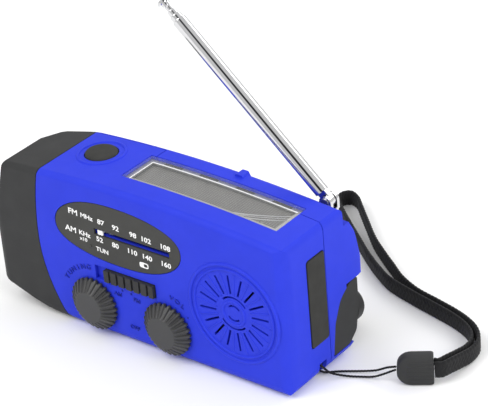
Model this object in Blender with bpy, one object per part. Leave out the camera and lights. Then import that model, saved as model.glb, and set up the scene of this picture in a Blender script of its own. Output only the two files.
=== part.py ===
"""Hand-crank emergency radio with a torch, a solar panel and a wrist strap, as separate pieces.

Sizes are in millimetres. Places are measured from the case's lower front left corner:
x to the right, y to the back, z up. at() turns them into metres round the middle of the base.
"""

import math

import bmesh
import bpy
from mathutils import Matrix, Vector

MM = 0.001

# Case
LENGTH = 128.0
HEIGHT = 59.9
CROWN = 3.67
FRONT_LOW_RADIUS = 4.8
END_LOW_RADIUS = 5.2
BASE_DEPTH = 33.0
BASE_MIDDLE_Y = 20.0
REAR_Y = 42.0
WALL = 2.0
GAP = 0.3
PARTING_Y = 22.3
TONGUE_END_X = 57.0
TONGUE_Y = 31.3
TONGUE_Z = 52.0

# Torch end
SEAM_X = 22.1
SEAM_MIDDLE_Z = 32.0
SEAM_LOW_BEND = 0.0103
SEAM_HIGH_BEND = 0.0046
TORCH_Y = 21.0
TORCH_Z = 30.0
TORCH_RADIUS = 15.5
# Planes that round the torch end's upper rear corner off: their normals, and a place on each
TORCH_CORNER_PLANES = (
    ((-0.30, 0.75, 0.64), (22.0, 30.4, 58.4)),
    ((-0.50, 0.60, 0.60), (15.0, 27.6, 58.4)),
    ((-0.72, 0.39, 0.57), (12.0, 23.6, 58.4)),
)
BUTTON_X = 38.0
BUTTON_Y = 19.5
BUTTON_RADIUS = 5.8

# Front controls
TUNING_X = 45.5
VOLUME_X = 77.6
KNOB_Z = 12.35
KNOB_RADIUS = 9.9
KNOB_CAP_RADIUS = 5.6
KNOB_HEIGHT = 4.0
KNOB_FLUTES = 28
SHAFT_RADIUS = 3.0
DIAL_Z = 41.5
SLOT_LEFT_X = 48.6
SLOT_RIGHT_X = 81.1
POINTER_X = 51.2
SWITCH_LEFT_X = 47.0
SWITCH_RIGHT_X = 73.6
SWITCH_LOW_Z = 22.6
SWITCH_HIGH_Z = 28.0
SLIDER_LENGTH = 21.6

# Speaker
SPEAKER_X = 106.6
SPEAKER_Z = 27.45
SPEAKER_RADIUS = 17.8
GRILLE_SLOTS = 16

# Solar window
SOLAR_LEFT_X = 54.8
SOLAR_RIGHT_X = 119.1
SOLAR_FRONT_Y = 9.7
SOLAR_BACK_Y = 26.1

# Ports
COVER_FRONT_Y = 12.4
COVER_BACK_Y = 21.7
COVER_LOW_Z = 13.7
COVER_HIGH_Z = 46.7

# Crank and gears
GEAR_MODULE = 0.5
CRANK_TEETH = 44
IDLER_PINION_TEETH = 12
IDLER_TEETH = 40
ROTOR_TEETH = 10
CRANK_X = 74.0
CRANK_Z = 17.0
IDLER_ANGLE = math.radians(60.0)
ROTOR_ANGLE = 0.0
CRANK_KNOB_X = 116.0
CRANK_KNOB_Z = 8.1
CRANK_KNOB_RADIUS = 6.8
ARM_FRONT_Y = 42.6
ARM_BACK_Y = 45.2
HOUSING_LEFT_X = 46.0

# Antenna
PIVOT = (120.2, 37.0, 55.3)
ANTENNA_TILT = math.radians(42.6)
TUBE_START = 3.6
TUBE_END = 77.2
TUBE_RADII = (2.5, 2.08, 1.66, 1.24)
TUBE_WALL = 0.2
TUBE_STEP = 1.95
TIP_RADIUS = 0.8
TIP_COLLAR_RADIUS = 1.6
TIP_BUTTON_RADIUS = 2.5
TIP_BUTTON_LENGTH = 2.4

# Strap
BAR_X = 124.6
BAR_Z = 3.1
BAR_RADIUS = 1.3
STRING_DIAMETER = 0.8
WEB_HEIGHT = 6.0
WEB_THICKNESS = 1.3
WEB_SPACING = 2.3
FERRULE_START = (150.6, 27.3)
FERRULE_END = (160.8, 33.7)
FERRULE_HEIGHT = 10.8
FERRULE_THICKNESS = 5.0
FERRULE_MIDDLE_Z = 5.5
FLOOR_GAP = 0.05


def at(x, y, z):
    return Vector(((x - LENGTH / 2) * MM, (y - BASE_MIDDLE_Y) * MM, z * MM))


def crown_height(x):
    return HEIGHT - CROWN * ((x - LENGTH / 2) / (LENGTH / 2)) ** 2


def clear_scene():
    for old in list(bpy.data.objects):
        bpy.data.objects.remove(old, do_unlink=True)


MATERIALS = {
    "blue_plastic": ((0.045, 0.075, 0.78, 1.0), 0.45, 0.0),
    "dark_plastic": ((0.06, 0.062, 0.064, 1.0), 0.55, 0.0),
    "black_plastic": ((0.02, 0.02, 0.022, 1.0), 0.5, 0.0),
    "white_plastic": ((0.85, 0.85, 0.83, 1.0), 0.4, 0.0),
    "rubber": ((0.055, 0.056, 0.057, 1.0), 0.75, 0.0),
    "chrome": ((0.85, 0.85, 0.86, 1.0), 0.12, 1.0),
    "steel": ((0.55, 0.56, 0.57, 1.0), 0.3, 1.0),
    "clear": ((0.9, 0.93, 0.95, 0.4), 0.05, 0.0),
    "solar": ((0.13, 0.11, 0.1, 1.0), 0.3, 0.0),
    "silver_trim": ((0.62, 0.6, 0.54, 1.0), 0.35, 0.0),
    "board": ((0.02, 0.16, 0.07, 1.0), 0.5, 0.0),
    "paper": ((0.08, 0.07, 0.06, 1.0), 0.9, 0.0),
    "ferrite": ((0.09, 0.085, 0.085, 1.0), 0.6, 0.0),
    "battery_wrap": ((0.05, 0.3, 0.12, 1.0), 0.35, 0.0),
    "nylon": ((0.86, 0.84, 0.78, 1.0), 0.5, 0.0),
    "webbing": ((0.018, 0.018, 0.019, 1.0), 0.9, 0.0),
}


def paint(obj, kind):
    colour, roughness, metallic = MATERIALS[kind]
    material = bpy.data.materials.new(f"{obj.name}_{kind}")
    material.use_nodes = True
    shader = material.node_tree.nodes["Principled BSDF"]
    shader.inputs["Base Color"].default_value = colour
    shader.inputs["Roughness"].default_value = roughness
    shader.inputs["Metallic"].default_value = metallic
    shader.inputs["Alpha"].default_value = colour[3]
    obj.data.materials.clear()
    obj.data.materials.append(material)


def link(name, mesh_builder):
    mesh = bpy.data.meshes.new(name)
    bmesh.ops.recalc_face_normals(mesh_builder, faces=mesh_builder.faces)
    mesh_builder.to_mesh(mesh)
    mesh_builder.free()
    obj = bpy.data.objects.new(name, mesh)
    bpy.context.scene.collection.objects.link(obj)
    return obj


def named(obj, name, kind, pivot=None):
    """Gives a finished piece its name and material, and puts its origin on its joint's axis."""
    obj.name = name
    obj.data.name = name
    if pivot is not None:
        place = at(*pivot)
        obj.data.transform(Matrix.Translation(-(place - obj.location)))
        obj.location = place
    paint(obj, kind)
    return obj


def bake(obj):
    graph = bpy.context.evaluated_depsgraph_get()
    mesh = bpy.data.meshes.new_from_object(obj.evaluated_get(graph), depsgraph=graph)
    obj.modifiers.clear()
    old = obj.data
    obj.data = mesh
    bpy.data.meshes.remove(old)
    return obj


def combine(obj, tool, operation, keep_tool=False):
    step = obj.modifiers.new("combine", "BOOLEAN")
    step.operation = operation
    step.object = tool
    step.solver = "EXACT"
    bake(obj)
    if not keep_tool:
        bpy.data.objects.remove(tool, do_unlink=True)
    return obj


def cut(obj, *tools):
    for tool in tools:
        combine(obj, tool, "DIFFERENCE")
    return obj


def add(obj, *tools):
    for tool in tools:
        combine(obj, tool, "UNION")
    return obj


def copy_of(obj):
    twin = obj.copy()
    twin.data = obj.data.copy()
    bpy.context.scene.collection.objects.link(twin)
    return twin


# Outlines


def offset_corners(corners, inset):
    """Moves each side of a convex outline, listed anticlockwise, inwards."""
    if inset == 0:
        return list(corners)
    moved = []
    count = len(corners)
    for i in range(count):
        before, here, after = (Vector(corners[(i + k) % count]) for k in (-1, 0, 1))
        first = (here - before).normalized()
        second = (after - here).normalized()
        normal_1 = Vector((-first.y, first.x)) * inset
        normal_2 = Vector((-second.y, second.x)) * inset
        turn = first.x * second.y - first.y * second.x
        reach = (normal_2 - normal_1).cross(second) / turn if abs(turn) > 1e-6 else 0.0
        moved.append(tuple(here + normal_1 + first * reach))
    return moved


def rounded(corners, radii, steps=4):
    """An outline with each corner rounded to its radius."""
    points = []
    count = len(corners)
    for i, radius in enumerate(radii):
        before, here, after = (Vector(corners[(i + k) % count]) for k in (-1, 0, 1))
        back = (before - here).normalized()
        ahead = (after - here).normalized()
        half = back.angle(ahead) / 2
        if radius <= 0 or half > math.radians(89.5):
            points.append(tuple(here))
            continue
        reach = min(radius / math.tan(half), (before - here).length * 0.49, (after - here).length * 0.49)
        radius = reach * math.tan(half)
        centre = here + (back + ahead).normalized() * (radius / math.sin(half))
        start = here + back * reach - centre
        end = here + ahead * reach - centre
        sweep = start.angle_signed(end)
        for k in range(steps + 1):
            angle = -sweep * k / steps
            x = start.x * math.cos(angle) - start.y * math.sin(angle)
            y = start.x * math.sin(angle) + start.y * math.cos(angle)
            points.append((centre.x + x, centre.y + y))
    return points


def circle(x, y, radius, sides=32, phase=0.0):
    turn = 2 * math.pi / sides
    return [
        (x + radius * math.cos(phase + turn * i), y + radius * math.sin(phase + turn * i))
        for i in range(sides)
    ]


def rectangle(x_low, y_low, x_high, y_high, radius=0.0, steps=3):
    corners = [(x_low, y_low), (x_high, y_low), (x_high, y_high), (x_low, y_high)]
    return rounded(corners, [radius] * 4, steps) if radius else corners


def hull(points):
    """The convex outline round a set of points, anticlockwise."""
    points = sorted(set(points))

    def half(ordered):
        chain = []
        for p in ordered:
            while len(chain) > 1:
                a, b = chain[-2], chain[-1]
                if (b[0] - a[0]) * (p[1] - a[1]) - (b[1] - a[1]) * (p[0] - a[0]) > 1e-9:
                    break
                chain.pop()
            chain.append(p)
        return chain[:-1]

    return half(points) + half(points[::-1])


# Solids

PLANES = {"X": lambda t, a, b: (t, a, b), "Y": lambda t, a, b: (a, t, b), "Z": lambda t, a, b: (a, b, t)}


def prism(outline, axis, low, high):
    """An outline pushed along an axis: (y, z) along X, (x, z) along Y or (x, y) along Z."""
    place = PLANES[axis]
    mesh = bmesh.new()
    rings = [[mesh.verts.new(at(*place(t, a, b))) for a, b in outline] for t in (low, high)]
    mesh.faces.new(rings[0])
    mesh.faces.new(rings[1][::-1])
    count = len(outline)
    for i in range(count):
        j = (i + 1) % count
        mesh.faces.new((rings[0][i], rings[0][j], rings[1][j], rings[1][i]))
    return link("prism", mesh)


def ring_prism(outer, inner, axis, low, high):
    """A closed band between two outlines with the same number of points."""
    place = PLANES[axis]
    mesh = bmesh.new()
    loops = [
        [mesh.verts.new(at(*place(t, a, b))) for a, b in outline]
        for t, outline in ((low, outer), (high, outer), (high, inner), (low, inner))
    ]
    count = len(outer)
    for k in range(4):
        this, following = loops[k], loops[(k + 1) % 4]
        for i in range(count):
            j = (i + 1) % count
            mesh.faces.new((this[i], this[j], following[j], following[i]))
    return link("ring", mesh)


def box(x_low, x_high, y_low, y_high, z_low, z_high):
    return prism([(x_low, y_low), (x_high, y_low), (x_high, y_high), (x_low, y_high)], "Z", z_low, z_high)


def disc(axis, a, b, radius, low, high, sides=32):
    return prism(circle(a, b, radius, sides), axis, low, high)


def turned(profile, axis, a, b, sides=32):
    """A profile of (radius, distance along the axis) turned round the axis through a, b."""
    place = PLANES[axis]
    mesh = bmesh.new()
    rings = []
    for radius, t in profile:
        if radius < 1e-6:
            rings.append([mesh.verts.new(at(*place(t, a, b)))] * sides)
        else:
            rings.append([mesh.verts.new(at(*place(t, p, q))) for p, q in circle(a, b, radius, sides)])
    count = len(profile)
    closed = profile[0][0] > 1e-6 or profile[-1][0] > 1e-6
    for k in range(count if closed else count - 1):
        this, following = rings[k], rings[(k + 1) % count]
        for i in range(sides):
            j = (i + 1) % sides
            corners = []
            for vert in (this[i], this[j], following[j], following[i]):
                if vert not in corners:
                    corners.append(vert)
            if len(corners) > 2:
                mesh.faces.new(corners)
    return link("turned", mesh)


def crown_slab(x_low, x_high, y_low, y_high, below_top, below_bottom, steps=10):
    """A slab that follows the crown of the case's top, set down from it."""
    mesh = bmesh.new()
    rings = []
    for k in range(steps + 1):
        x = x_low + (x_high - x_low) * k / steps
        top = crown_height(x)
        corners = ((y_low, top - below_bottom), (y_high, top - below_bottom),
                   (y_high, top - below_top), (y_low, top - below_top))
        rings.append([mesh.verts.new(at(x, y, z)) for y, z in corners])
    mesh.faces.new(rings[0])
    mesh.faces.new(rings[-1][::-1])
    for this, following in zip(rings, rings[1:]):
        for i in range(4):
            j = (i + 1) % 4
            mesh.faces.new((this[i], this[j], following[j], following[i]))
    return link("slab", mesh)


# Case


def case_section(inset):
    corners = [(0, 0), (BASE_DEPTH, 0), (REAR_Y, 15), (REAR_Y, 36), (39.0, 48.0), (32.6, HEIGHT), (0, HEIGHT)]
    radii = [FRONT_LOW_RADIUS, 4.0, 12.0, 9.0, 9.0, 3.0, 2.2]
    radii = [max(r - inset, 0.3) for r in radii]
    return rounded(offset_corners(corners, inset), radii, 4)


def far_side(normal, point, inset):
    """A block over all that lies beyond a plane, which the inset moves inwards."""
    block = box(-40.0, 40.0, -40.0, 40.0, 0.0, 40.0)
    block.data.transform(Matrix.Translation(-at(0.0, 0.0, 0.0)))
    block.data.transform(normal.to_track_quat("Z", "Y").to_matrix().to_4x4())
    block.data.transform(Matrix.Translation(at(*(point - normal * inset))))
    return block


def case_body(inset=0.0):
    """The case's outer shape, or with an inset the hollow inside its wall."""
    stations = [-4 + 8 * k for k in range(18)]
    mesh = bmesh.new()
    rings = []
    for x in stations:
        squash = crown_height(x) / HEIGHT
        rings.append(
            [mesh.verts.new(at(x, y, inset + (z - inset) * squash)) for y, z in case_section(inset)]
        )
    mesh.faces.new(rings[0])
    mesh.faces.new(rings[-1][::-1])
    for this, following in zip(rings, rings[1:]):
        for i in range(len(this)):
            j = (i + 1) % len(this)
            mesh.faces.new((this[i], this[j], following[j], following[i]))
    body = link("case", mesh)
    side = [(30, -0.05), (LENGTH, -0.05), (LENGTH, 57.2), (64, 61.4), (9.3, 58.4), (0.4, 24.0), (0.9, 9.6)]
    side_radii = [14, END_LOW_RADIUS, 4.0, 0, 3.0, 24.0, 3.0]
    plan = [(0, -0.05), (LENGTH, -0.05), (LENGTH, 46.0), (0, 46.0)]
    plan_radii = [5.5, 5.0, 6.0, 12.0]
    for corners, radii, axis in ((side, side_radii, "Y"), (plan, plan_radii, "Z")):
        outline = rounded(offset_corners(corners, inset), [max(r - inset, 0) for r in radii], 5)
        combine(body, prism(outline, axis, -10.0, 80.0), "INTERSECT")
    for normal, point in TORCH_CORNER_PLANES:
        cut(body, far_side(Vector(normal).normalized(), Vector(point), inset))
    return body


def seam_x(z):
    bend = SEAM_LOW_BEND if z < SEAM_MIDDLE_Z else SEAM_HIGH_BEND
    return SEAM_X + bend * (z - SEAM_MIDDLE_Z) ** 2


def seam_side(left, shift):
    """All that lies left or right of the curved seam between the torch end and the case."""
    heights = [-6 + 4.5 * k for k in range(17)]
    curve = [(seam_x(z) + shift, z) for z in heights]
    far = -10.0 if left else LENGTH + 12
    return prism(curve + [(far, heights[-1]), (far, heights[0])], "Y", -12.0, 62.0)


def housing_outline(grow=0.0):
    """The dark crank housing seen from the end: a quarter-round front and a flat back."""
    corners = [(24.2, 4.2), (33.6, 4.2), (37.6, 7.4), (39.4, 17.0), (39.4, 27.3),
               (35.0, 27.1), (29.4, 23.4), (26.0, 16.0)]
    outline = offset_corners(corners, -grow)
    return rounded(outline, [0.8, 2.0, 3.0, 0.0, 0.8, 4.0, 8.0, 8.0], 3)


def rear_opening():
    """The way cut through the rear shell for the crank housing, open to the back."""
    outline = housing_outline(GAP)
    back = [(y, z) for y, z in outline if y > 33.0]
    low, high = min(z for _, z in outline), max(z for _, z in outline)
    tool = prism(outline, "X", HOUSING_LEFT_X - GAP, LENGTH + 6)
    return add(tool, box(HOUSING_LEFT_X - GAP, LENGTH + 6, min(y for y, _ in back), 55.0, low, high))


def antenna_bay(grow=0.0):
    """The channel for the folded antenna and the shelf that its base stands on."""
    x, y, z = PIVOT
    channel = disc("X", y, z, 3.15 + grow, -8.0, LENGTH + 8, 20)
    shelf = box(113.5 - grow, LENGTH + 8, 33.2 - grow, 55.0, 49.6 - grow, 70.0)
    return channel, shelf


def strap_notch(grow=0.0):
    return box(121.6 - grow, LENGTH + 8, 15.7 - grow, 19.6 + min(grow, 1.6), -4.0, 5.9 + grow)


def hollow_case():
    outer = case_body(0.0)
    hollow = case_body(WALL)
    cut(outer, *antenna_bay())
    cut(outer, strap_notch())
    cut(hollow, *antenna_bay(WALL))
    cut(hollow, strap_notch(WALL))
    return outer, hollow


CASE_SCREWS = ((31.5, 7.0), (31.5, 50.8), (109.0, 49.3))
HOUSING_SCREW = (122.3, 9.8)


def back_region():
    """The side of the parting line that belongs to the rear shell."""
    region = box(-10.0, LENGTH + 12, PARTING_Y + GAP / 2, 70.0, -10.0, 80.0)
    return cut(region, box(-12.0, TONGUE_END_X + GAP / 2, 10.0, TONGUE_Y + GAP / 2, TONGUE_Z, 90.0))


def front_region():
    region = box(-10.0, LENGTH + 12, -12.0, PARTING_Y - GAP / 2, -10.0, 80.0)
    return add(region, box(-10.0, TONGUE_END_X - GAP / 2, 10.0, TONGUE_Y - GAP / 2, TONGUE_Z + GAP, 80.0))


def dial_outline(grow=0.0):
    """An egg-shaped outline, fuller on the left, round the tuning scale."""
    left, right, low, high = 31.2 - grow, 86.0 + grow, 30.6 - grow, 52.9 + grow
    points = []
    for k in range(48):
        angle = 2 * math.pi * k / 48
        x = math.copysign(abs(math.cos(angle)) ** 0.92, math.cos(angle))
        z = math.copysign(abs(math.sin(angle)) ** 0.92, math.sin(angle))
        lean = 1.3 * x
        height = low + (high - low) * (z + 1) / 2 + lean * (1 - z * z)
        points.append((left + (right - left) * (x + 1) / 2, height))
    return points


def grille_cutters():
    cutters = []
    for k in range(GRILLE_SLOTS):
        angle = 2 * math.pi * (k + 0.25) / GRILLE_SLOTS
        along = Vector((math.cos(angle), math.sin(angle)))
        across = Vector((-along.y, along.x)) * 0.4
        centre = Vector((SPEAKER_X, SPEAKER_Z))
        near, far = centre + along * 7.3, centre + along * 14.2
        outline = [tuple(p) for p in (near - across, far - across, far + across, near + across)]
        cutters.append(prism(outline, "Y", -3.0, 6.0))
    for radius, starts in ((6.0, (35, 215)), (2.8, (35, 215))):
        for start in starts:
            angles = [math.radians(start + 100 * i / 8) for i in range(9)]
            outer = [(SPEAKER_X + (radius + 0.35) * math.cos(a), SPEAKER_Z + (radius + 0.35) * math.sin(a))
                     for a in angles]
            inner = [(SPEAKER_X + (radius - 0.35) * math.cos(a), SPEAKER_Z + (radius - 0.35) * math.sin(a))
                     for a in angles]
            cutters.append(prism(outer + inner[::-1], "Y", -3.0, 6.0))
    return cutters


def front_shell(outer, hollow):
    shell = copy_of(outer)
    combine(shell, hollow, "DIFFERENCE", keep_tool=True)
    for x, z in (*CASE_SCREWS, HOUSING_SCREW):
        add(shell, disc("Y", x, z, 3.1, WALL - 0.4, PARTING_Y, 16))
    combine(shell, outer, "INTERSECT", keep_tool=True)
    combine(shell, front_region(), "INTERSECT")
    combine(shell, seam_side(False, GAP / 2), "INTERSECT")
    for x, z in (*CASE_SCREWS, HOUSING_SCREW):
        cut(shell, disc("Y", x, z, 1.35, 8.5, PARTING_Y + 2, 12))
    cut(shell, prism(dial_outline(GAP * 0.8), "Y", -2.0, 1.15))
    cut(shell, box(SLOT_LEFT_X, SLOT_RIGHT_X, -2.0, 4.0, DIAL_Z - 0.75, DIAL_Z + 0.75))
    cut(shell, box(SWITCH_LEFT_X, SWITCH_RIGHT_X, -2.0, 1.4, SWITCH_LOW_Z, SWITCH_HIGH_Z))
    cut(shell, box(56.4, 64.6, 0.0, 4.0, 24.2, 26.8))
    for x in (TUNING_X, VOLUME_X):
        cut(shell, disc("Y", x, KNOB_Z, SHAFT_RADIUS + GAP, -2.0, 4.0, 24))
    cut(shell, *grille_cutters())
    cut(shell, disc("Z", BUTTON_X, BUTTON_Y, BUTTON_RADIUS + GAP, 50.0, 70.0, 32))
    cut(shell, box(SOLAR_LEFT_X, SOLAR_RIGHT_X, SOLAR_FRONT_Y, SOLAR_BACK_Y, 50.0, 70.0))
    pocket = rectangle(COVER_FRONT_Y - GAP, COVER_LOW_Z - GAP, COVER_BACK_Y + GAP, COVER_HIGH_Z + GAP, 1.2)
    cut(shell, prism(pocket, "X", 126.9, LENGTH + 4))
    cut(shell, box(120.0, 130.0, 13.9, 20.3, 30.0, 43.8))
    cut(shell, box(120.0, 130.0, 15.1, 19.0, 17.6, 26.4))
    cut(shell, disc("Y", BAR_X, BAR_Z, BAR_RADIUS + 0.25, 11.5, 21.7, 16))
    return named(shell, "front_shell", "blue_plastic")


def rear_shell(outer, hollow):
    shell = copy_of(outer)
    combine(shell, hollow, "DIFFERENCE", keep_tool=True)
    for x, z in CASE_SCREWS:
        add(shell, disc("Y", x, z, 4.1, PARTING_Y, 44.0, 16))
    combine(shell, outer, "INTERSECT", keep_tool=True)
    combine(shell, back_region(), "INTERSECT")
    combine(shell, seam_side(False, GAP / 2), "INTERSECT")
    for x, z in CASE_SCREWS:
        cut(shell, disc("Y", x, z, 1.35, 10.0, 60.0, 12))
        cut(shell, disc("Y", x, z, 2.9, 27.0, 60.0, 16))
    cut(shell, rear_opening())
    cut(shell, box(SOLAR_LEFT_X, SOLAR_RIGHT_X, SOLAR_FRONT_Y, SOLAR_BACK_Y, 50.0, 70.0))
    cut(shell, disc("Z", PIVOT[0], PIVOT[1], 1.8, 44.0, 52.0, 16))
    clip = rounded([(87.0, 57.5), (92.2, 57.5), (90.9, 60.2), (88.2, 60.2)], [0, 0, 0.8, 0.8], 3)
    add(shell, prism(clip, "Y", 29.0, 32.8))
    return named(shell, "rear_shell", "blue_plastic")


def torch_bezel(outer, hollow):
    bezel = copy_of(outer)
    inside = copy_of(hollow)
    combine(inside, box(12.0, 60.0, -5.0, 60.0, -5.0, 80.0), "INTERSECT")
    cut(bezel, inside)
    combine(bezel, seam_side(True, -GAP / 2), "INTERSECT")
    cut(bezel, disc("X", TORCH_Y, TORCH_Z, TORCH_RADIUS, -10.0, 30.0, 40))
    flare = [(TORCH_RADIUS - 1.0, 6.4), (TORCH_RADIUS + 3.2, -3.0), (0.0, -3.0), (0.0, 6.4)]
    cut(bezel, turned(flare[::-1], "X", TORCH_Y, TORCH_Z, 40))
    return named(bezel, "torch_bezel", "dark_plastic")


# Torch


def torch_parts():
    radius = TORCH_RADIUS - GAP
    lens = turned([(0, 7.0), (radius - 0.6, 7.0), (radius, 7.6), (radius, 8.7), (0, 8.7)], "X",
                  TORCH_Y, TORCH_Z, 40)
    named(lens, "torch_lens", "clear")
    dish = [(radius, 9.0), (radius, 10.0), (12.6, 14.5), (9.6, 18.6), (0, 18.6), (0, 17.6), (9.0, 17.6),
            (11.8, 14.0), (14.4, 9.0)]
    reflector = turned(dish, "X", TORCH_Y, TORCH_Z, 28)
    board = disc("X", TORCH_Y, TORCH_Z, 10.5, 19.6, 20.8, 28)
    for k in range(3):
        angle = math.radians(90 + 120 * k)
        y, z = TORCH_Y + 5.0 * math.cos(angle), TORCH_Z + 5.0 * math.sin(angle)
        cut(reflector, disc("X", y, z, 2.9, 15.0, 22.0, 20))
        bulb = [(0, 12.2), (1.4, 12.7), (2.3, 13.9), (2.5, 15.2), (2.5, 19.3), (0, 19.3)]
        named(turned(bulb, "X", y, z, 16), f"torch_led_{k + 1}", "clear")
    named(reflector, "torch_reflector", "chrome")
    named(board, "torch_board", "board")


def torch_button():
    top = 60.2
    profile = [(0, 55.7), (7.0, 55.7), (7.0, 56.7), (BUTTON_RADIUS, 56.7), (BUTTON_RADIUS, top - 0.7),
               (BUTTON_RADIUS - 0.5, top - 0.2), (BUTTON_RADIUS - 1.4, top), (0, top)]
    cap = turned(profile, "Z", BUTTON_X, BUTTON_Y, 32)
    named(cap, "torch_button", "rubber", (BUTTON_X, BUTTON_Y, 57.0))
    switch = box(BUTTON_X - 3, BUTTON_X + 3, BUTTON_Y - 2.7, BUTTON_Y + 2.7, 50.0, 53.2)
    add(switch, box(BUTTON_X - 1.3, BUTTON_X + 9, BUTTON_Y - 5, BUTTON_Y + 5, 48.8, 50.2))
    add(switch, disc("Z", BUTTON_X, BUTTON_Y, 1.6, 53.0, 54.1, 16))
    named(switch, "torch_switch", "black_plastic")


# Solar panel


def solar_parts():
    def inside(inset):
        return (SOLAR_LEFT_X + inset, SOLAR_RIGHT_X - inset, SOLAR_FRONT_Y + inset, SOLAR_BACK_Y - inset)

    named(crown_slab(*inside(GAP), 0.12, 1.0), "solar_window", "clear")
    frame = crown_slab(*inside(GAP), 1.3, 2.0)
    cut(frame, box(*inside(2.4), 40, 70))
    named(frame, "solar_frame", "silver_trim")
    named(crown_slab(*inside(-1.4), 2.3, 3.6), "solar_cell", "solar")


# Dial and tuning

CORD_Y = (4.2, 4.7)
POSTS = ((46.4, DIAL_Z), (86.0, DIAL_Z))
DRUM_RADIUS = 9.0


def dial_parts():
    plate = prism(dial_outline(), "Y", 0.05, 0.85)
    cut(plate, box(SLOT_LEFT_X, SLOT_RIGHT_X, -1.0, 2.0, DIAL_Z - 1.1, DIAL_Z + 1.1))
    named(plate, "dial_plate", "dark_plastic")
    pointer = box(POINTER_X - 1.1, POINTER_X + 1.1, 0.2, 0.8, DIAL_Z - 0.9, DIAL_Z + 0.9)
    add(pointer, box(POINTER_X - 0.7, POINTER_X + 0.7, 0.7, 2.8, DIAL_Z - 0.45, DIAL_Z + 0.45))
    add(pointer, box(POINTER_X - 3.0, POINTER_X + 3.0, 2.5, 3.8, DIAL_Z - 3.0, DIAL_Z + 3.0))
    named(pointer, "dial_pointer", "white_plastic", (POINTER_X, 1.0, DIAL_Z))
    guide = box(43.5, 88.5, 5.4, 6.6, DIAL_Z - 4.0, DIAL_Z + 4.0)
    for x, z in POSTS:
        add(guide, disc("Y", x, z, 1.2, 3.0, 6.0, 12))
    named(guide, "dial_guide", "nylon")
    spots = [p for (x, z), r in zip((*POSTS, (TUNING_X, KNOB_Z)), (1.2, 1.2, DRUM_RADIUS))
             for p in circle(x, z, r + GAP, 24)]
    outline = hull(spots)
    wider = offset_corners(outline, -0.5)
    named(ring_prism(wider, outline, "Y", *CORD_Y), "dial_cord", "nylon")


def knob(name, x, own_stem=False):
    """A flat-topped knob with a fluted, sloping side, on its own stem or bored for a shaft."""
    place = PLANES["Y"]
    mesh = bmesh.new()
    rings = []
    base, top = -0.35, -0.35 - KNOB_HEIGHT
    levels = ((KNOB_RADIUS, KNOB_RADIUS - 1.0, base), (KNOB_RADIUS, KNOB_RADIUS - 1.0, base - 0.9),
              (6.7, 6.0, top + 0.5), (KNOB_CAP_RADIUS, KNOB_CAP_RADIUS, top))
    for ridge, groove, y in levels:
        ring = []
        for i in range(KNOB_FLUTES * 4):
            radius = ridge if i % 4 < 2 else groove
            angle = 2 * math.pi * (i + (0.25 if i % 2 else 0)) / (KNOB_FLUTES * 4)
            spot = place(y, x + radius * math.cos(angle), KNOB_Z + radius * math.sin(angle))
            ring.append(mesh.verts.new(at(*spot)))
        rings.append(ring)
    mesh.faces.new(rings[0])
    mesh.faces.new(rings[-1][::-1])
    for this, following in zip(rings, rings[1:]):
        for i in range(len(this)):
            j = (i + 1) % len(this)
            mesh.faces.new((this[i], this[j], following[j], following[i]))
    body = link(name, mesh)
    if own_stem:
        add(body, disc("Y", x, KNOB_Z, SHAFT_RADIUS, base - 1.0, 5.6, 20))
    else:
        cut(body, disc("Y", x, KNOB_Z, SHAFT_RADIUS + 0.25, base - 2.7, 3.0, 20))
    return named(body, name, "dark_plastic", (x, base, KNOB_Z))


def tuning_and_volume():
    knob("tuning_knob", TUNING_X)
    knob("volume_knob", VOLUME_X, own_stem=True)
    flange = DRUM_RADIUS + 0.9
    drum = [(0, -2.7), (SHAFT_RADIUS, -2.7), (SHAFT_RADIUS, 3.6), (flange, 3.6), (DRUM_RADIUS, 4.05),
            (DRUM_RADIUS, 4.85), (flange, 5.3), (SHAFT_RADIUS, 5.3), (SHAFT_RADIUS, 5.6), (0, 5.6)]
    named(turned(drum, "Y", TUNING_X, KNOB_Z, 28), "tuning_drum", "nylon", (TUNING_X, 0, KNOB_Z))
    named(box(TUNING_X - 9.8, TUNING_X + 9.8, 5.9, 13.7, 2.6, 22.0), "tuning_capacitor", "nylon")
    pot = disc("Y", VOLUME_X, KNOB_Z, 8.0, 5.9, 13.0, 28)
    add(pot, box(VOLUME_X - 5, VOLUME_X + 5, 8.0, 13.7, 4.0, 12.0))
    named(pot, "volume_control", "steel")


def band_switch():
    low, right = SWITCH_LOW_Z + 0.35, SWITCH_RIGHT_X - 0.35
    slider = box(right - SLIDER_LENGTH, right, -1.3, 1.0, low, SWITCH_HIGH_Z - 0.35)
    for k in range(6):
        x = right - SLIDER_LENGTH + 2.2 + 3.3 * k
        cut(slider, box(x, x + 0.9, -2.0, -0.7, low - 1, SWITCH_HIGH_Z + 1))
    add(slider, box(61.0, 64.2, 0.5, 5.0, 24.6, 26.4))
    named(slider, "band_slider", "black_plastic", (right - SLIDER_LENGTH / 2, 0, 25.3))
    named(box(50.5, 71.0, 5.3, 13.7, 22.4, 28.6), "band_switch", "steel")


# Speaker and electronics


def speaker():
    rim = SPEAKER_RADIUS
    frame = [(rim, 2.4), (rim, 3.8), (15.6, 3.8), (10.2, 11.8), (3.4, 11.8), (3.4, 10.8), (9.4, 10.8),
             (14.8, 2.9), (14.8, 2.4)]
    named(turned(frame, "Y", SPEAKER_X, SPEAKER_Z, 36), "speaker_frame", "steel")
    cone = [(14.4, 2.6), (5.0, 8.2), (3.6, 6.6), (0, 6.0), (0, 6.5), (3.2, 7.1), (5.0, 8.9), (14.4, 3.2)]
    named(turned(cone, "Y", SPEAKER_X, SPEAKER_Z, 36), "speaker_cone", "paper")
    named(turned([(0, 12.1), (9.0, 12.1), (9.0, 16.6), (0, 16.6)], "Y", SPEAKER_X, SPEAKER_Z, 28),
          "speaker_magnet", "ferrite")


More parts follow.
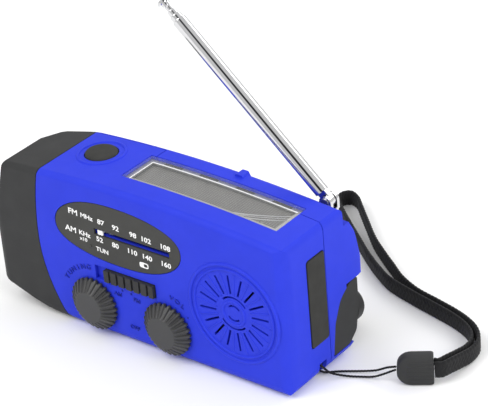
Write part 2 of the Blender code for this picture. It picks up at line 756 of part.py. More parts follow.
def electronics():
    board = box(36.0, 86.5, 14.0, 15.6, 4.0, 42.5)
    chips = ((60, 33, 12, 7, 1.6), (76, 34, 5, 5, 3.0), (42, 33, 5, 8, 2.2), (62, 14, 7, 5, 1.4))
    for x, z, wide, tall, deep in chips:
        add(board, box(x - wide / 2, x + wide / 2, 15.4, 15.6 + deep, z - tall / 2, z + tall / 2))
    named(board, "main_board", "board")
    named(disc("X", 10.0, 48.6, 3.9, 48.0, 103.0, 20), "ferrite_rod", "ferrite")
    cell = [(0, 49.0), (6.6, 49.0), (7.0, 49.4), (7.0, 97.6), (6.6, 98.0), (2.5, 98.0), (2.5, 99.0),
            (0, 99.0)]
    named(turned(cell, "X", 26.0, 47.6, 20), "battery", "battery_wrap")


def ports():
    usb = box(117.0, 126.6, 14.2, 20.0, 30.3, 43.5)
    cut(usb, box(118.5, 130.0, 14.7, 19.5, 30.8, 43.0))
    add(usb, box(118.0, 125.4, 15.2, 16.8, 31.6, 42.2))
    named(usb, "usb_socket", "steel")
    micro = box(120.0, 126.6, 15.5, 18.6, 18.0, 26.0)
    cut(micro, box(121.0, 130.0, 15.9, 18.2, 18.5, 25.5))
    add(micro, box(120.5, 125.6, 16.8, 17.3, 19.6, 24.4))
    named(micro, "micro_usb_socket", "steel")
    named(box(116.8, 125.6, 20.4, 21.6, 16.0, 45.5), "port_board", "board")
    outline = rectangle(COVER_FRONT_Y, COVER_LOW_Z, COVER_BACK_Y, COVER_HIGH_Z, 1.0)
    cover = prism(outline, "X", 127.2, 128.35)
    named(cover, "port_cover", "rubber", (128.2, COVER_BACK_Y, (COVER_LOW_Z + COVER_HIGH_Z) / 2))


# Crank, gears and dynamo


def gear_outline(x, z, teeth, phase):
    """Involute teeth in the (x, z) plane, with one tooth's middle at the phase angle."""
    pressure = math.radians(22.5)
    pitch = GEAR_MODULE * teeth / 2
    base = pitch * math.cos(pressure)
    tip = pitch + 0.85 * GEAR_MODULE
    root = pitch - 1.15 * GEAR_MODULE
    half_pitch = math.pi / (2 * teeth) - 0.055 / pitch
    roll_at_pitch = math.tan(pressure) - pressure

    def half_angle(radius):
        if radius <= base:
            return half_pitch + roll_at_pitch
        angle = math.acos(base / radius)
        return half_pitch + roll_at_pitch - (math.tan(angle) - angle)

    start = max(base, root)
    levels = [root, start, (start + tip) / 2, tip] if start > root + 0.02 else [root, tip]
    points = []
    for k in range(teeth):
        middle = phase + 2 * math.pi * k / teeth
        flank = [(r, half_angle(r)) for r in levels]
        for r, a in flank:
            points.append((x + r * math.cos(middle - a), z + r * math.sin(middle - a)))
        for r, a in flank[::-1]:
            points.append((x + r * math.cos(middle + a), z + r * math.sin(middle + a)))
    return points


def gear_places():
    first = GEAR_MODULE * (CRANK_TEETH + IDLER_PINION_TEETH) / 2 + 0.05
    second = GEAR_MODULE * (IDLER_TEETH + ROTOR_TEETH) / 2 + 0.05
    idler = (CRANK_X + first * math.cos(IDLER_ANGLE), CRANK_Z + first * math.sin(IDLER_ANGLE))
    rotor = (idler[0] + second * math.cos(ROTOR_ANGLE), idler[1] + second * math.sin(ROTOR_ANGLE))
    return idler, rotor


STAGE_TWO_Y = (24.9, 26.9)
STAGE_ONE_Y = (27.7, 29.9)
FRONT_PLATE_Y = (23.1, 24.4)
REAR_PLATE_Y = (30.4, 31.6)


def gear_train():
    (idler_x, idler_z), (rotor_x, rotor_z) = gear_places()
    crank_gear = prism(gear_outline(CRANK_X, CRANK_Z, CRANK_TEETH, IDLER_ANGLE), "Y", *STAGE_ONE_Y)
    for x, z in circle(CRANK_X, CRANK_Z, 6.6, 5):
        cut(crank_gear, disc("Y", x, z, 2.2, 20, 40, 12))
    add(crank_gear, disc("Y", CRANK_X, CRANK_Z, 2.5, 22.0, 41.2, 20))
    named(crank_gear, "crank_gear", "nylon", (CRANK_X, 30, CRANK_Z))
    meet = IDLER_ANGLE + math.pi + math.pi / IDLER_PINION_TEETH
    idler = prism(gear_outline(idler_x, idler_z, IDLER_TEETH, ROTOR_ANGLE), "Y", *STAGE_TWO_Y)
    pinion = gear_outline(idler_x, idler_z, IDLER_PINION_TEETH, meet)
    add(idler, prism(pinion, "Y", STAGE_TWO_Y[1] - 0.2, STAGE_ONE_Y[1]))
    add(idler, disc("Y", idler_x, idler_z, 1.0, 23.0, 32.2, 12))
    named(idler, "idler_gear", "nylon", (idler_x, 27, idler_z))
    meet = ROTOR_ANGLE + math.pi + math.pi / ROTOR_TEETH
    pinion = gear_outline(rotor_x, rotor_z, ROTOR_TEETH, meet)
    rotor = prism(pinion, "Y", STAGE_TWO_Y[0], STAGE_TWO_Y[1] + 0.4)
    add(rotor, disc("Y", rotor_x, rotor_z, 1.0, 21.0, 30.0, 12))
    add(rotor, disc("Y", rotor_x, rotor_z, 8.4, 18.9, 21.2, 28))
    named(rotor, "dynamo_rotor", "steel", (rotor_x, 24, rotor_z))
    can = disc("Y", rotor_x, rotor_z, 12.0, 17.3, 22.7, 36)
    cut(can, disc("Y", rotor_x, rotor_z, 8.8, 18.5, 21.6, 28))
    cut(can, disc("Y", rotor_x, rotor_z, 1.3, 21.0, 26.0, 12))
    for x, z in circle(rotor_x, rotor_z, 10.4, 4, math.pi / 4):
        cut(can, disc("Y", x, z, 0.9, 21.0, 24.0, 8))
    cut(can, box(rotor_x - 1.5, rotor_x + 1.5, 19.4, 20.8, rotor_z + 7, rotor_z + 20))
    named(can, "dynamo_body", "steel")
    front = box(58.5, 106.5, *FRONT_PLATE_Y, 5.5, 38.6)
    rear = box(66.0, 98.0, *REAR_PLATE_Y, 5.5, 38.6)
    for plate in (front, rear):
        for x, z, radius in ((CRANK_X, CRANK_Z, 2.75), (idler_x, idler_z, 1.3), (rotor_x, rotor_z, 1.3)):
            cut(plate, disc("Y", x, z, radius, 10, 50, 16))
    for x, z in ((68.6, 36.4), (95.5, 8.0)):
        add(front, disc("Y", x, z, 1.6, FRONT_PLATE_Y[1] - 0.2, REAR_PLATE_Y[0] - GAP, 12))
    named(front, "gearbox_front_plate", "steel")
    named(rear, "gearbox_rear_plate", "steel")


def crank_housing():
    outline = housing_outline()
    house = prism(outline, "X", HOUSING_LEFT_X, LENGTH - 0.2)
    inside = prism(housing_outline(-1.8), "X", HOUSING_LEFT_X + 1.8, LENGTH - 2.2)
    cut(house, inside)
    cut(house, box(0.0, LENGTH - 2.2, 10.0, 32.6, -5.0, 60.0))
    cut(house, disc("Y", CRANK_X, CRANK_Z, 2.8, 20.0, 50.0, 20))
    x, z = HOUSING_SCREW
    add(house, disc("Y", x, z, 3.0, 30.6, 37.6, 16))
    cut(house, disc("Y", x, z, 1.35, 20.0, 60.0, 12))
    cut(house, disc("Y", x, z, 2.7, 33.4, 60.0, 16))
    return named(house, "crank_housing", "dark_plastic")


def crank():
    turn = Vector((CRANK_KNOB_X - CRANK_X, CRANK_KNOB_Z - CRANK_Z))
    along = turn.normalized()
    across = Vector((-along.y, along.x))
    spots = circle(CRANK_X, CRANK_Z, 7.2, 32) + circle(CRANK_KNOB_X, CRANK_KNOB_Z, 5.4, 28)
    arm = prism(hull([tuple(p) for p in spots]), "Y", ARM_FRONT_Y, ARM_BACK_Y)
    start, end = turn * 0.28, turn * 0.74
    groove = [tuple(Vector((CRANK_X, CRANK_Z)) + p) for p in
              (start - across * 2.6, end - across * 2.2, end + across * 2.2, start + across * 2.6)]
    cut(arm, prism(groove, "Y", ARM_BACK_Y - 0.9, ARM_BACK_Y + 2))
    add(arm, disc("Y", CRANK_X, CRANK_Z, 6.4, 39.8, ARM_FRONT_Y + 0.5, 28))
    add(arm, disc("Y", CRANK_KNOB_X, CRANK_KNOB_Z, 1.9, ARM_BACK_Y - 0.5, 50.2, 16))
    cut(arm, disc("Y", CRANK_X, CRANK_Z, 2.8, 30.0, 41.5, 20))
    cut(arm, disc("Y", CRANK_X, CRANK_Z, 1.5, 30.0, 60.0, 12))
    cut(arm, disc("Y", CRANK_X, CRANK_Z, 3.1, 43.6, 60.0, 20))
    named(arm, "crank_arm", "dark_plastic", (CRANK_X, 44, CRANK_Z))
    screw = [(0, 41.5), (1.2, 41.5), (1.2, 43.9), (2.8, 43.9), (2.8, 44.7), (2.2, 45.1), (0, 45.1)]
    named(turned(screw, "Y", CRANK_X, CRANK_Z, 20), "crank_screw", "steel", (CRANK_X, 44, CRANK_Z))
    r = CRANK_KNOB_RADIUS
    grip = [(2.2, 45.5), (r - 0.6, 45.5), (r, 46.1), (r, 49.0), (r - 0.5, 50.2), (r - 1.6, 51.0), (0, 51.3),
            (0, 50.5), (2.2, 50.5)]
    named(turned(grip, "Y", CRANK_KNOB_X, CRANK_KNOB_Z, 32), "crank_knob", "black_plastic",
          (CRANK_KNOB_X, 48, CRANK_KNOB_Z))


# Antenna


def along_antenna(obj, name):
    """Stands a piece made along +Z over the pivot on to the antenna's line."""
    place = at(*PIVOT)
    lean = Matrix.Rotation(-(math.pi / 2 - ANTENNA_TILT), 4, "Y")
    obj.data.transform(Matrix.Translation(-place))
    obj.data.transform(lean)
    obj.location = place
    return named(obj, name, "chrome")


def antenna():
    x, y, z = PIVOT
    base = turned([(0, 46.5), (1.5, 46.5), (1.5, 49.9), (2.9, 49.9), (2.9, 52.3), (0, 52.3)], "Z", x, y, 20)
    cheeks = [(x - 2.4, 52.0), (x + 2.4, 52.0), (x + 2.4, 57.5), (x - 2.4, 57.5)]
    add(base, prism(rounded(cheeks, [0, 0, 2.2, 2.2], 4), "Y", y - 2.4, y + 2.4))
    cut(base, box(x - 4, x + 4, y - 1.1, y + 1.1, 52.7, 60.0))
    cut(base, disc("Y", x, z, 1.25, y - 5, y + 5, 12))
    named(base, "antenna_base", "chrome", (x, y, 50))
    pin = [(0, y - 2.9), (1.7, y - 2.9), (1.7, y - 2.5), (1.0, y - 2.5), (1.0, y + 2.6), (0, y + 2.6)]
    named(turned(pin, "Y", x, z, 12), "antenna_hinge_screw", "steel", (x, y, z))
    for k, radius in enumerate(TUBE_RADII):
        top = z + TUBE_END + TUBE_STEP * k
        bottom = z + TUBE_START + (2.2 + 1.2 * k if k else 0)
        inner = radius - TUBE_WALL
        profile = [(inner, bottom), (radius, bottom), (radius, top - 0.3), (radius - 0.15, top), (inner, top)]
        tube = turned(profile, "Z", x, y, 16)
        if k == 0:
            add(tube, disc("Z", x, y, radius - 0.05, bottom - 0.2, bottom + 1.5, 16))
            tang = [(x - 2.1, z - 2.1), (x + 2.1, z - 2.1), (x + 1.8, bottom + 0.6), (x - 1.8, bottom + 0.6)]
            add(tube, prism(rounded(tang, [2.0, 2.0, 0, 0], 4), "Y", y - 0.8, y + 0.8))
            cut(tube, disc("Y", x, z, 1.25, y - 5, y + 5, 12))
        along_antenna(tube, f"antenna_tube_{k + 1}")
    collar = z + TUBE_END + TUBE_STEP * (len(TUBE_RADII) - 1) + GAP
    end = collar + TIP_BUTTON_LENGTH
    rod_start = z + TUBE_START + 8.0
    tip = [(0, rod_start), (TIP_RADIUS, rod_start), (TIP_RADIUS, collar), (TIP_COLLAR_RADIUS, collar),
           (TIP_COLLAR_RADIUS, end - 1.4), (TIP_BUTTON_RADIUS, end - 1.2), (TIP_BUTTON_RADIUS, end - 0.6),
           (TIP_BUTTON_RADIUS - 0.6, end), (0, end)]
    along_antenna(turned(tip, "Z", x, y, 20), "antenna_tip")


# Fasteners


def case_screws():
    for k, (x, z) in enumerate(CASE_SCREWS):
        profile = [(0, 11.0), (1.05, 12.2), (1.05, 27.3), (2.5, 27.3), (2.5, 28.4), (2.0, 29.0), (0, 29.0)]
        named(turned(profile, "Y", x, z, 12), f"case_screw_{k + 1}", "steel")
    x, z = HOUSING_SCREW
    profile = [(0, 14.0), (1.05, 15.2), (1.05, 33.7), (2.4, 33.7), (2.4, 34.8), (2.0, 35.3), (0, 35.3)]
    named(turned(profile, "Y", x, z, 12), "housing_screw", "steel")


# Strap


def smooth(points, spacing):
    """A smooth line through route points, with a point about every spacing."""
    route = [Vector(p) for p in points]
    ends = [route[0] * 2 - route[1], *route, route[-1] * 2 - route[-2]]
    line = [route[0]]
    for i in range(1, len(ends) - 2):
        p0, p1, p2, p3 = ends[i - 1:i + 3]
        count = max(1, round((p2 - p1).length / spacing))
        for k in range(1, count + 1):
            t = k / count
            line.append(0.5 * ((2 * p1) + (p2 - p0) * t + (2 * p0 - 5 * p1 + 4 * p2 - p3) * t * t
                               + (3 * p1 - p0 - 3 * p2 + p3) * t ** 3))
    return line


def curve_object(name, line, radius, kind, ribbon_height=0.0, roundness=2):
    curve = bpy.data.curves.new(name, "CURVE")
    curve.dimensions = "3D"
    curve.bevel_depth = radius * MM
    curve.bevel_resolution = roundness
    curve.extrude = ribbon_height / 2 * MM
    curve.use_fill_caps = True
    curve.render_resolution_u = 0
    curve.twist_mode = "Z_UP"
    spline = curve.splines.new("POLY")
    spline.points.add(len(line) - 1)
    for point, place in zip(spline.points, line):
        point.co = (*at(*place), 1.0)
    obj = bpy.data.objects.new(name, curve)
    bpy.context.scene.collection.objects.link(obj)
    paint(obj, kind)
    return obj


FERRULE_WAY = Vector((FERRULE_END[0] - FERRULE_START[0], FERRULE_END[1] - FERRULE_START[1])).normalized()
FERRULE_SIDE = Vector((-FERRULE_WAY.y, FERRULE_WAY.x))


def ferrule():
    """The moulded tab that joins the string to the webbing, standing on its edge."""
    length = (Vector(FERRULE_END) - Vector(FERRULE_START)).length
    outline = rounded([(0, FLOOR_GAP), (length, FLOOR_GAP), (length, FERRULE_HEIGHT), (0, FERRULE_HEIGHT)],
                      [4.6, 0.8, 0.8, 4.6], 5)
    mesh = bmesh.new()
    rings = []
    for shift in (-FERRULE_THICKNESS / 2, FERRULE_THICKNESS / 2):
        ring = []
        for along, up in outline:
            place = Vector(FERRULE_START) + FERRULE_WAY * along + FERRULE_SIDE * shift
            ring.append(mesh.verts.new(at(place.x, place.y, up)))
        rings.append(ring)
    mesh.faces.new(rings[0])
    mesh.faces.new(rings[1][::-1])
    for i in range(len(outline)):
        j = (i + 1) % len(outline)
        mesh.faces.new((rings[0][i], rings[0][j], rings[1][j], rings[1][i]))
    return named(link("strap_ferrule", mesh), "strap_ferrule", "dark_plastic")


STRING_OUT = (
    (146.4, 27.8, 4.0), (142.0, 27.4, 1.6), (136.6, 25.6, 0.5), (131.4, 22.4, 0.5), (127.4, 19.4, 0.5),
)
STRING_BACK = (
    (127.9, 17.0, 4.3), (130.2, 18.2, 2.0), (134.0, 20.8, 0.6), (139.0, 23.2, 0.5), (144.0, 24.6, 1.6),
)


def string_line():
    """Out of the tab, under and round the bar in the case, and back to the tab."""
    start = Vector(FERRULE_START) - FERRULE_WAY * (GAP + 0.05)
    bend = STRING_DIAMETER / 2 + BAR_RADIUS + GAP
    wrap = []
    for k in range(9):
        angle = math.radians(-80 - 200 * k / 8)
        wrap.append((BAR_X + bend * math.cos(angle), 18.4 - 1.8 * k / 8, BAR_Z + bend * math.sin(angle)))
    ends = [(*(start + FERRULE_SIDE * side), FERRULE_MIDDLE_Z) for side in (0.9, -0.9)]
    return smooth([ends[0], *STRING_OUT, *wrap, *STRING_BACK, ends[1]], 2.0)


WEB_ROUTE = (
    (163.4, 38.9), (163.8, 44.2), (164.1, 49.8), (163.2, 54.9), (160.2, 59.2), (155.6, 62.5), (148.6, 65.3),
    (139.0, 67.8), (129.4, 70.2),
)
WEB_NEAR_LOOP = ((118.0, 72.4), (110.4, 76.6), (102.0, 82.4), (92.6, 89.9), (82.6, 98.0), (73.4, 105.8))
WEB_FAR_LOOP = ((120.6, 75.6), (113.4, 80.8), (106.2, 86.0), (97.0, 93.2), (87.2, 102.6), (79.4, 110.2))
WEB_FOLD = ((69.2, 110.2), (68.6, 113.8), (71.0, 116.0), (75.2, 114.2))


def web_line():
    """The doubled webbing from the tab to its loop's end and back, standing on its edge."""
    start = Vector(FERRULE_END) + FERRULE_WAY * GAP
    route = [start, start + FERRULE_WAY * 2.0, *(Vector(p) for p in WEB_ROUTE)]
    resting = WEB_HEIGHT / 2 + FLOOR_GAP
    drop_steps = 3.5
    strands = ([], [])
    for i, here in enumerate(route):
        before = route[max(i - 1, 0)]
        after = route[min(i + 1, len(route) - 1)]
        way = (after - before).normalized()
        across = Vector((-way.y, way.x)) * WEB_SPACING / 2
        fall = min(1.0, max(0, i - 1) / drop_steps)
        height = resting + (FERRULE_MIDDLE_Z - resting) * (1 + math.cos(math.pi * fall)) / 2
        strands[0].append((*(here + across), height))
        strands[1].append((*(here - across), height))
    near, far, fold = ([(x, y, resting) for x, y in part] for part in (WEB_NEAR_LOOP, WEB_FAR_LOOP, WEB_FOLD))
    return smooth([*strands[0], *near, *fold, *far[::-1], *strands[1][::-1]], 5.0)


def strap():
    bar = disc("Y", BAR_X, BAR_Z, BAR_RADIUS, 11.8, 21.4, 16)
    named(bar, "strap_bar", "steel")
    curve_object("strap_string", string_line(), STRING_DIAMETER / 2, "webbing")
    ferrule()
    curve_object("strap_webbing", web_line(), WEB_THICKNESS / 2, "webbing",
                 WEB_HEIGHT - WEB_THICKNESS, roundness=1)


def main():
    clear_scene()
    outer, hollow = hollow_case()
    front_shell(outer, hollow)
    rear_shell(outer, hollow)
    torch_bezel(outer, hollow)
    bpy.data.objects.remove(outer, do_unlink=True)
    bpy.data.objects.remove(hollow, do_unlink=True)
    torch_parts()
    torch_button()
    solar_parts()
    dial_parts()
    tuning_and_volume()
    band_switch()
    speaker()
    electronics()
    ports()
    gear_train()
    crank_housing()
    crank()
    antenna()
    case_screws()
    strap()


main()
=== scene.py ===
"""Looks of the hand-crank emergency radio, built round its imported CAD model."""

import math

import bmesh
import bpy
from mathutils import Matrix, Vector
from mathutils.bvhtree import BVHTree


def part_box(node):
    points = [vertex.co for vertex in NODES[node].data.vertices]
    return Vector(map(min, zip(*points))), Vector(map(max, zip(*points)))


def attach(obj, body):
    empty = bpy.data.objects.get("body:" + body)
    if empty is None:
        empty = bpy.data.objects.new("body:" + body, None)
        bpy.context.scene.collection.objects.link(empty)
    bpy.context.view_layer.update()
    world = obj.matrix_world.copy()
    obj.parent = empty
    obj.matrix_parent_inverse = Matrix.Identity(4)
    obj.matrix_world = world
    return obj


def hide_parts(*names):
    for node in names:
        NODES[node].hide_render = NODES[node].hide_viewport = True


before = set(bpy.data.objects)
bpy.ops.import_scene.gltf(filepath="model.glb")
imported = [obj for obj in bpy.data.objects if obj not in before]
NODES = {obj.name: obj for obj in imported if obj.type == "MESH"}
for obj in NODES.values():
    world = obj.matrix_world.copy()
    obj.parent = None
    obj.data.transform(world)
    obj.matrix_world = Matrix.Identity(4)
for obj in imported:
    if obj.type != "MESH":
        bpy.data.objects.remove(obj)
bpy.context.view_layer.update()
MM = 0.001
SCENE = bpy.context.scene


def middle(node):
    low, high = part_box(node)
    return (low + high) / 2


FRONT_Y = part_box("front_shell")[0].y
SPEAKER = middle("speaker_frame")
DIAL_FRONT_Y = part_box("dial_plate")[0].y
TUNING = middle("tuning_knob")
VOLUME = middle("volume_knob")
BUTTON = middle("torch_button")
CASE_LENGTH = 0.128
# The case's lower front left corner, from which places on the case are measured
CORNER = Vector((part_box("rear_shell")[1].x - CASE_LENGTH, FRONT_Y, 0.0))


def on_case(x, y, z):
    """A place in millimetres from the case's lower front left corner, in metres of the row frame."""
    return CORNER + Vector((x, y, z)) * MM


# Camera

CAMERA_PLACE = Vector((0.4325, -0.4803, 0.4090))
CAMERA_AZIMUTH = 39.66
CAMERA_ELEVATION = 29.47
CAMERA_ROLL = -5.03
CAMERA_LENS = 162.34


def make_camera():
    """The photograph's camera. Returns the way from the object back to it."""
    azimuth = math.radians(CAMERA_AZIMUTH)
    elevation = math.radians(CAMERA_ELEVATION)
    roll = math.radians(CAMERA_ROLL)
    back = Vector((math.sin(azimuth) * math.cos(elevation), -math.cos(azimuth) * math.cos(elevation),
                   math.sin(elevation)))
    right = Vector((math.cos(azimuth), math.sin(azimuth), 0.0))
    up = back.cross(right)
    across = right * math.cos(roll) + up * math.sin(roll)
    upward = up * math.cos(roll) - right * math.sin(roll)
    data = bpy.data.cameras.new("camera")
    data.sensor_fit = "HORIZONTAL"
    data.sensor_width = 36.0
    data.lens = CAMERA_LENS
    data.clip_start = 0.01
    data.clip_end = 50.0
    camera = bpy.data.objects.new("camera", data)
    SCENE.collection.objects.link(camera)
    turn = Matrix((across, upward, back)).transposed()
    camera.matrix_world = Matrix.Translation(CAMERA_PLACE) @ turn.to_4x4()
    SCENE.camera = camera
    return back


VIEW_BACK = make_camera()


# Materials


class Graph:
    """A short way to write a node tree."""

    def __init__(self, name):
        self.material = bpy.data.materials.new(name)
        self.material.use_nodes = True
        self.tree = self.material.node_tree
        self.shader = self.tree.nodes["Principled BSDF"]

    def node(self, kind, **settings):
        made = self.tree.nodes.new(kind)
        for key, value in settings.items():
            setattr(made, key, value)
        return made

    def link(self, source, target):
        self.tree.links.new(source, target)

    def place(self):
        return self.node("ShaderNodeTexCoord").outputs["Object"]

    def noise(self, scale, detail=3.0, roughness=0.55, place=None):
        made = self.node("ShaderNodeTexNoise")
        made.inputs["Scale"].default_value = scale
        made.inputs["Detail"].default_value = detail
        made.inputs["Roughness"].default_value = roughness
        self.link(place or self.place(), made.inputs["Vector"])
        return made.outputs["Fac"]

    def ramp(self, source, low, high, start=0.3, end=0.7):
        """Maps a value on to a range, or between two colours."""
        if isinstance(low, (int, float)):
            made = self.node("ShaderNodeMapRange")
            made.inputs["From Min"].default_value = start
            made.inputs["From Max"].default_value = end
            made.inputs["To Min"].default_value = low
            made.inputs["To Max"].default_value = high
            self.link(source, made.inputs["Value"])
            return made.outputs["Result"]
        made = self.node("ShaderNodeValToRGB")
        made.color_ramp.elements[0].position = start
        made.color_ramp.elements[1].position = end
        made.color_ramp.elements[0].color = (*low, 1.0)
        made.color_ramp.elements[1].color = (*high, 1.0)
        self.link(source, made.inputs["Fac"])
        return made.outputs["Color"]

    def math(self, operation, first, second=None):
        made = self.node("ShaderNodeMath", operation=operation)
        for slot, value in zip(made.inputs, (first, second)):
            if value is None:
                continue
            if isinstance(value, (int, float)):
                slot.default_value = value
            else:
                self.link(value, slot)
        return made.outputs[0]

    def bump(self, height, distance, strength=1.0):
        made = self.node("ShaderNodeBump")
        made.inputs["Distance"].default_value = distance
        made.inputs["Strength"].default_value = strength
        self.link(height, made.inputs["Height"])
        self.link(made.outputs["Normal"], self.shader.inputs["Normal"])


def shade(colour, factor):
    return tuple(min(1.0, c * factor) for c in colour)


def plastic(name, colour, roughness=0.45, grain=2600.0, depth=0.012, spread=0.06, specular=0.5):
    """Moulded plastic: spark-eroded grain, slight mottling, and handling marks in the gloss."""
    g = Graph(name)
    mottle = g.noise(140.0, 4.0)
    g.link(g.ramp(mottle, shade(colour, 1 - spread), shade(colour, 1 + spread)),
           g.shader.inputs["Base Color"])
    handled = g.noise(55.0, 5.0, 0.7)
    g.link(g.ramp(handled, roughness - 0.06, roughness + 0.07), g.shader.inputs["Roughness"])
    g.shader.inputs["Specular IOR Level"].default_value = specular
    g.bump(g.noise(grain, 2.0, 0.6), depth * MM)
    return g.material


def rubber(name, colour, roughness=0.8):
    g = Graph(name)
    g.link(g.ramp(g.noise(220.0, 4.0), shade(colour, 0.86), shade(colour, 1.12)),
           g.shader.inputs["Base Color"])
    g.link(g.ramp(g.noise(90.0, 4.0), roughness - 0.08, roughness + 0.06), g.shader.inputs["Roughness"])
    g.shader.inputs["Specular IOR Level"].default_value = 0.2
    g.bump(g.noise(3400.0, 2.0, 0.7), 0.02 * MM)
    return g.material


def metal(name, colour, roughness, brushed=0.0, spread=0.03):
    g = Graph(name)
    g.link(g.ramp(g.noise(300.0, 3.0), shade(colour, 1 - spread), shade(colour, 1 + spread)),
           g.shader.inputs["Base Color"])
    g.shader.inputs["Metallic"].default_value = 1.0
    smear = g.noise(120.0, 5.0, 0.65)
    g.link(g.ramp(smear, max(0.02, roughness - 0.03), roughness + 0.05), g.shader.inputs["Roughness"])
    if brushed:
        stretch = g.node("ShaderNodeMapping")
        stretch.inputs["Scale"].default_value = (60.0, 60.0, 4000.0)
        g.link(g.place(), stretch.inputs["Vector"])
        g.bump(g.noise(1.0, 3.0, 0.6, stretch.outputs["Vector"]), brushed * MM)
    else:
        g.bump(g.noise(900.0, 2.0), 0.001 * MM)
    return g.material


def clear_plastic(name, alpha=0.16):
    g = Graph(name)
    colour = (0.86, 0.9, 0.92)
    g.link(g.ramp(g.noise(200.0, 3.0), shade(colour, 0.96), colour), g.shader.inputs["Base Color"])
    g.link(g.ramp(g.noise(160.0, 5.0, 0.7), 0.03, 0.12), g.shader.inputs["Roughness"])
    g.shader.inputs["Alpha"].default_value = alpha
    g.shader.inputs["Specular IOR Level"].default_value = 0.6
    g.bump(g.noise(500.0, 2.0), 0.001 * MM)
    return g.material


def solar_cell():
    """Amorphous cell: fine strips across it, parted by thin bright scribe lines."""
    g = Graph("solar_cell")
    split = g.node("ShaderNodeSeparateXYZ")
    g.link(g.place(), split.inputs["Vector"])
    pitch = 0.95 * MM
    along = g.math("DIVIDE", split.outputs["X"], pitch)
    phase = g.math("FRACT", g.math("ADD", along, 200.0))
    line = g.math("LESS_THAN", phase, 0.24)
    tone = g.ramp(g.noise(90.0, 3.0), (0.072, 0.067, 0.06), (0.105, 0.098, 0.088))
    mix = g.node("ShaderNodeMix", data_type="RGBA")
    g.link(g.math("MULTIPLY", line, 0.55), mix.inputs["Factor"])
    g.link(tone, mix.inputs["A"])
    mix.inputs["B"].default_value = (0.24, 0.235, 0.22, 1.0)
    g.link(mix.outputs["Result"], g.shader.inputs["Base Color"])
    g.link(g.ramp(g.noise(400.0), 0.28, 0.42), g.shader.inputs["Roughness"])
    g.bump(line, 0.02 * MM)
    return g.material


def board_lacquer():
    g = Graph("board_lacquer")
    cells = g.node("ShaderNodeTexVoronoi", distance="MANHATTAN")
    cells.inputs["Scale"].default_value = 420.0
    g.link(g.place(), cells.inputs["Vector"])
    g.link(g.ramp(cells.outputs["Distance"], (0.012, 0.11, 0.045), (0.02, 0.2, 0.09), 0.35, 0.45),
           g.shader.inputs["Base Color"])
    g.link(g.ramp(g.noise(300.0), 0.3, 0.5), g.shader.inputs["Roughness"])
    g.bump(cells.outputs["Distance"], 0.03 * MM)
    return g.material


def webbing_cloth():
    g = Graph("webbing_cloth")
    fibre = g.noise(5200.0, 3.0, 0.7)
    g.link(g.ramp(fibre, (0.006, 0.006, 0.007), (0.022, 0.022, 0.023)), g.shader.inputs["Base Color"])
    g.shader.inputs["Roughness"].default_value = 0.88
    g.shader.inputs["Sheen Weight"].default_value = 0.08
    g.shader.inputs["Specular IOR Level"].default_value = 0.15
    g.shader.inputs["Sheen Roughness"].default_value = 0.5
    g.bump(fibre, 0.05 * MM)
    return g.material


BLUE = (0.021, 0.040, 0.60)
DARK = (0.033, 0.0335, 0.034)
WHITE = (0.86, 0.86, 0.85)

MATERIALS = {
    "blue": plastic("blue_shell", BLUE, 0.55, depth=0.008, spread=0.03, specular=0.16),
    "blue_mark": plastic("blue_mark", shade(BLUE, 0.55), 0.5, depth=0.006, spread=0.03, specular=0.16),
    "dark": plastic("dark_shell", DARK, 0.55, depth=0.012, spread=0.08, specular=0.16),
    "knob": plastic("knob_plastic", (0.042, 0.042, 0.042), 0.36, depth=0.006, spread=0.06, specular=0.4),
    "dial": plastic("dial_face", (0.046, 0.046, 0.043), 0.5, 1800.0, 0.004, 0.08, 0.2),
    "black": plastic("black_shell", (0.028, 0.028, 0.029), 0.5, depth=0.012, spread=0.08, specular=0.25),
    # Painted shade: the dial guide seen through the slot is coloured a darker, deeper blue than the case,
    # standing in for the shade inside the slot
    "slot_shade_blue": plastic("slot_shade_blue", (0.004, 0.006, 0.62), 0.5, depth=0.004, spread=0.03, specular=0.1),
    "white": plastic("white_print", WHITE, 0.5, depth=0.003, spread=0.02, specular=0.3),
    "nylon": plastic("nylon", (0.8, 0.78, 0.72), 0.5),
    "paper": rubber("paper_cone", (0.06, 0.052, 0.046), 0.9),
    "ferrite": rubber("ferrite", (0.07, 0.068, 0.068), 0.6),
    "wrap": plastic("battery_wrap", (0.03, 0.3, 0.12), 0.35),
    "rubber": rubber("rubber", (0.036, 0.036, 0.034)),
    "cover": rubber("cover_rubber", (0.033, 0.033, 0.031), 0.75),
    "chrome": metal("chrome", (0.66, 0.66, 0.67), 0.06),
    "steel": metal("steel", (0.56, 0.57, 0.58), 0.3, 0.004),
    "trim": metal("silver_trim", (0.42, 0.41, 0.39), 0.42, 0.002),
    # Painted reflection: bright grey metal for the strips that stand in for reflections on the solar cell
    "painted_reflection": metal("painted_cell_reflection", (0.5, 0.5, 0.5), 0.35),
    "contact": metal("contact_strip", (0.11, 0.10, 0.085), 0.5),
    "clear": clear_plastic("clear_cover", 0.05),
    "bulb": clear_plastic("clear_bulb", 0.45),
    "solar": solar_cell(),
    "board": board_lacquer(),
    "cloth": webbing_cloth(),
}

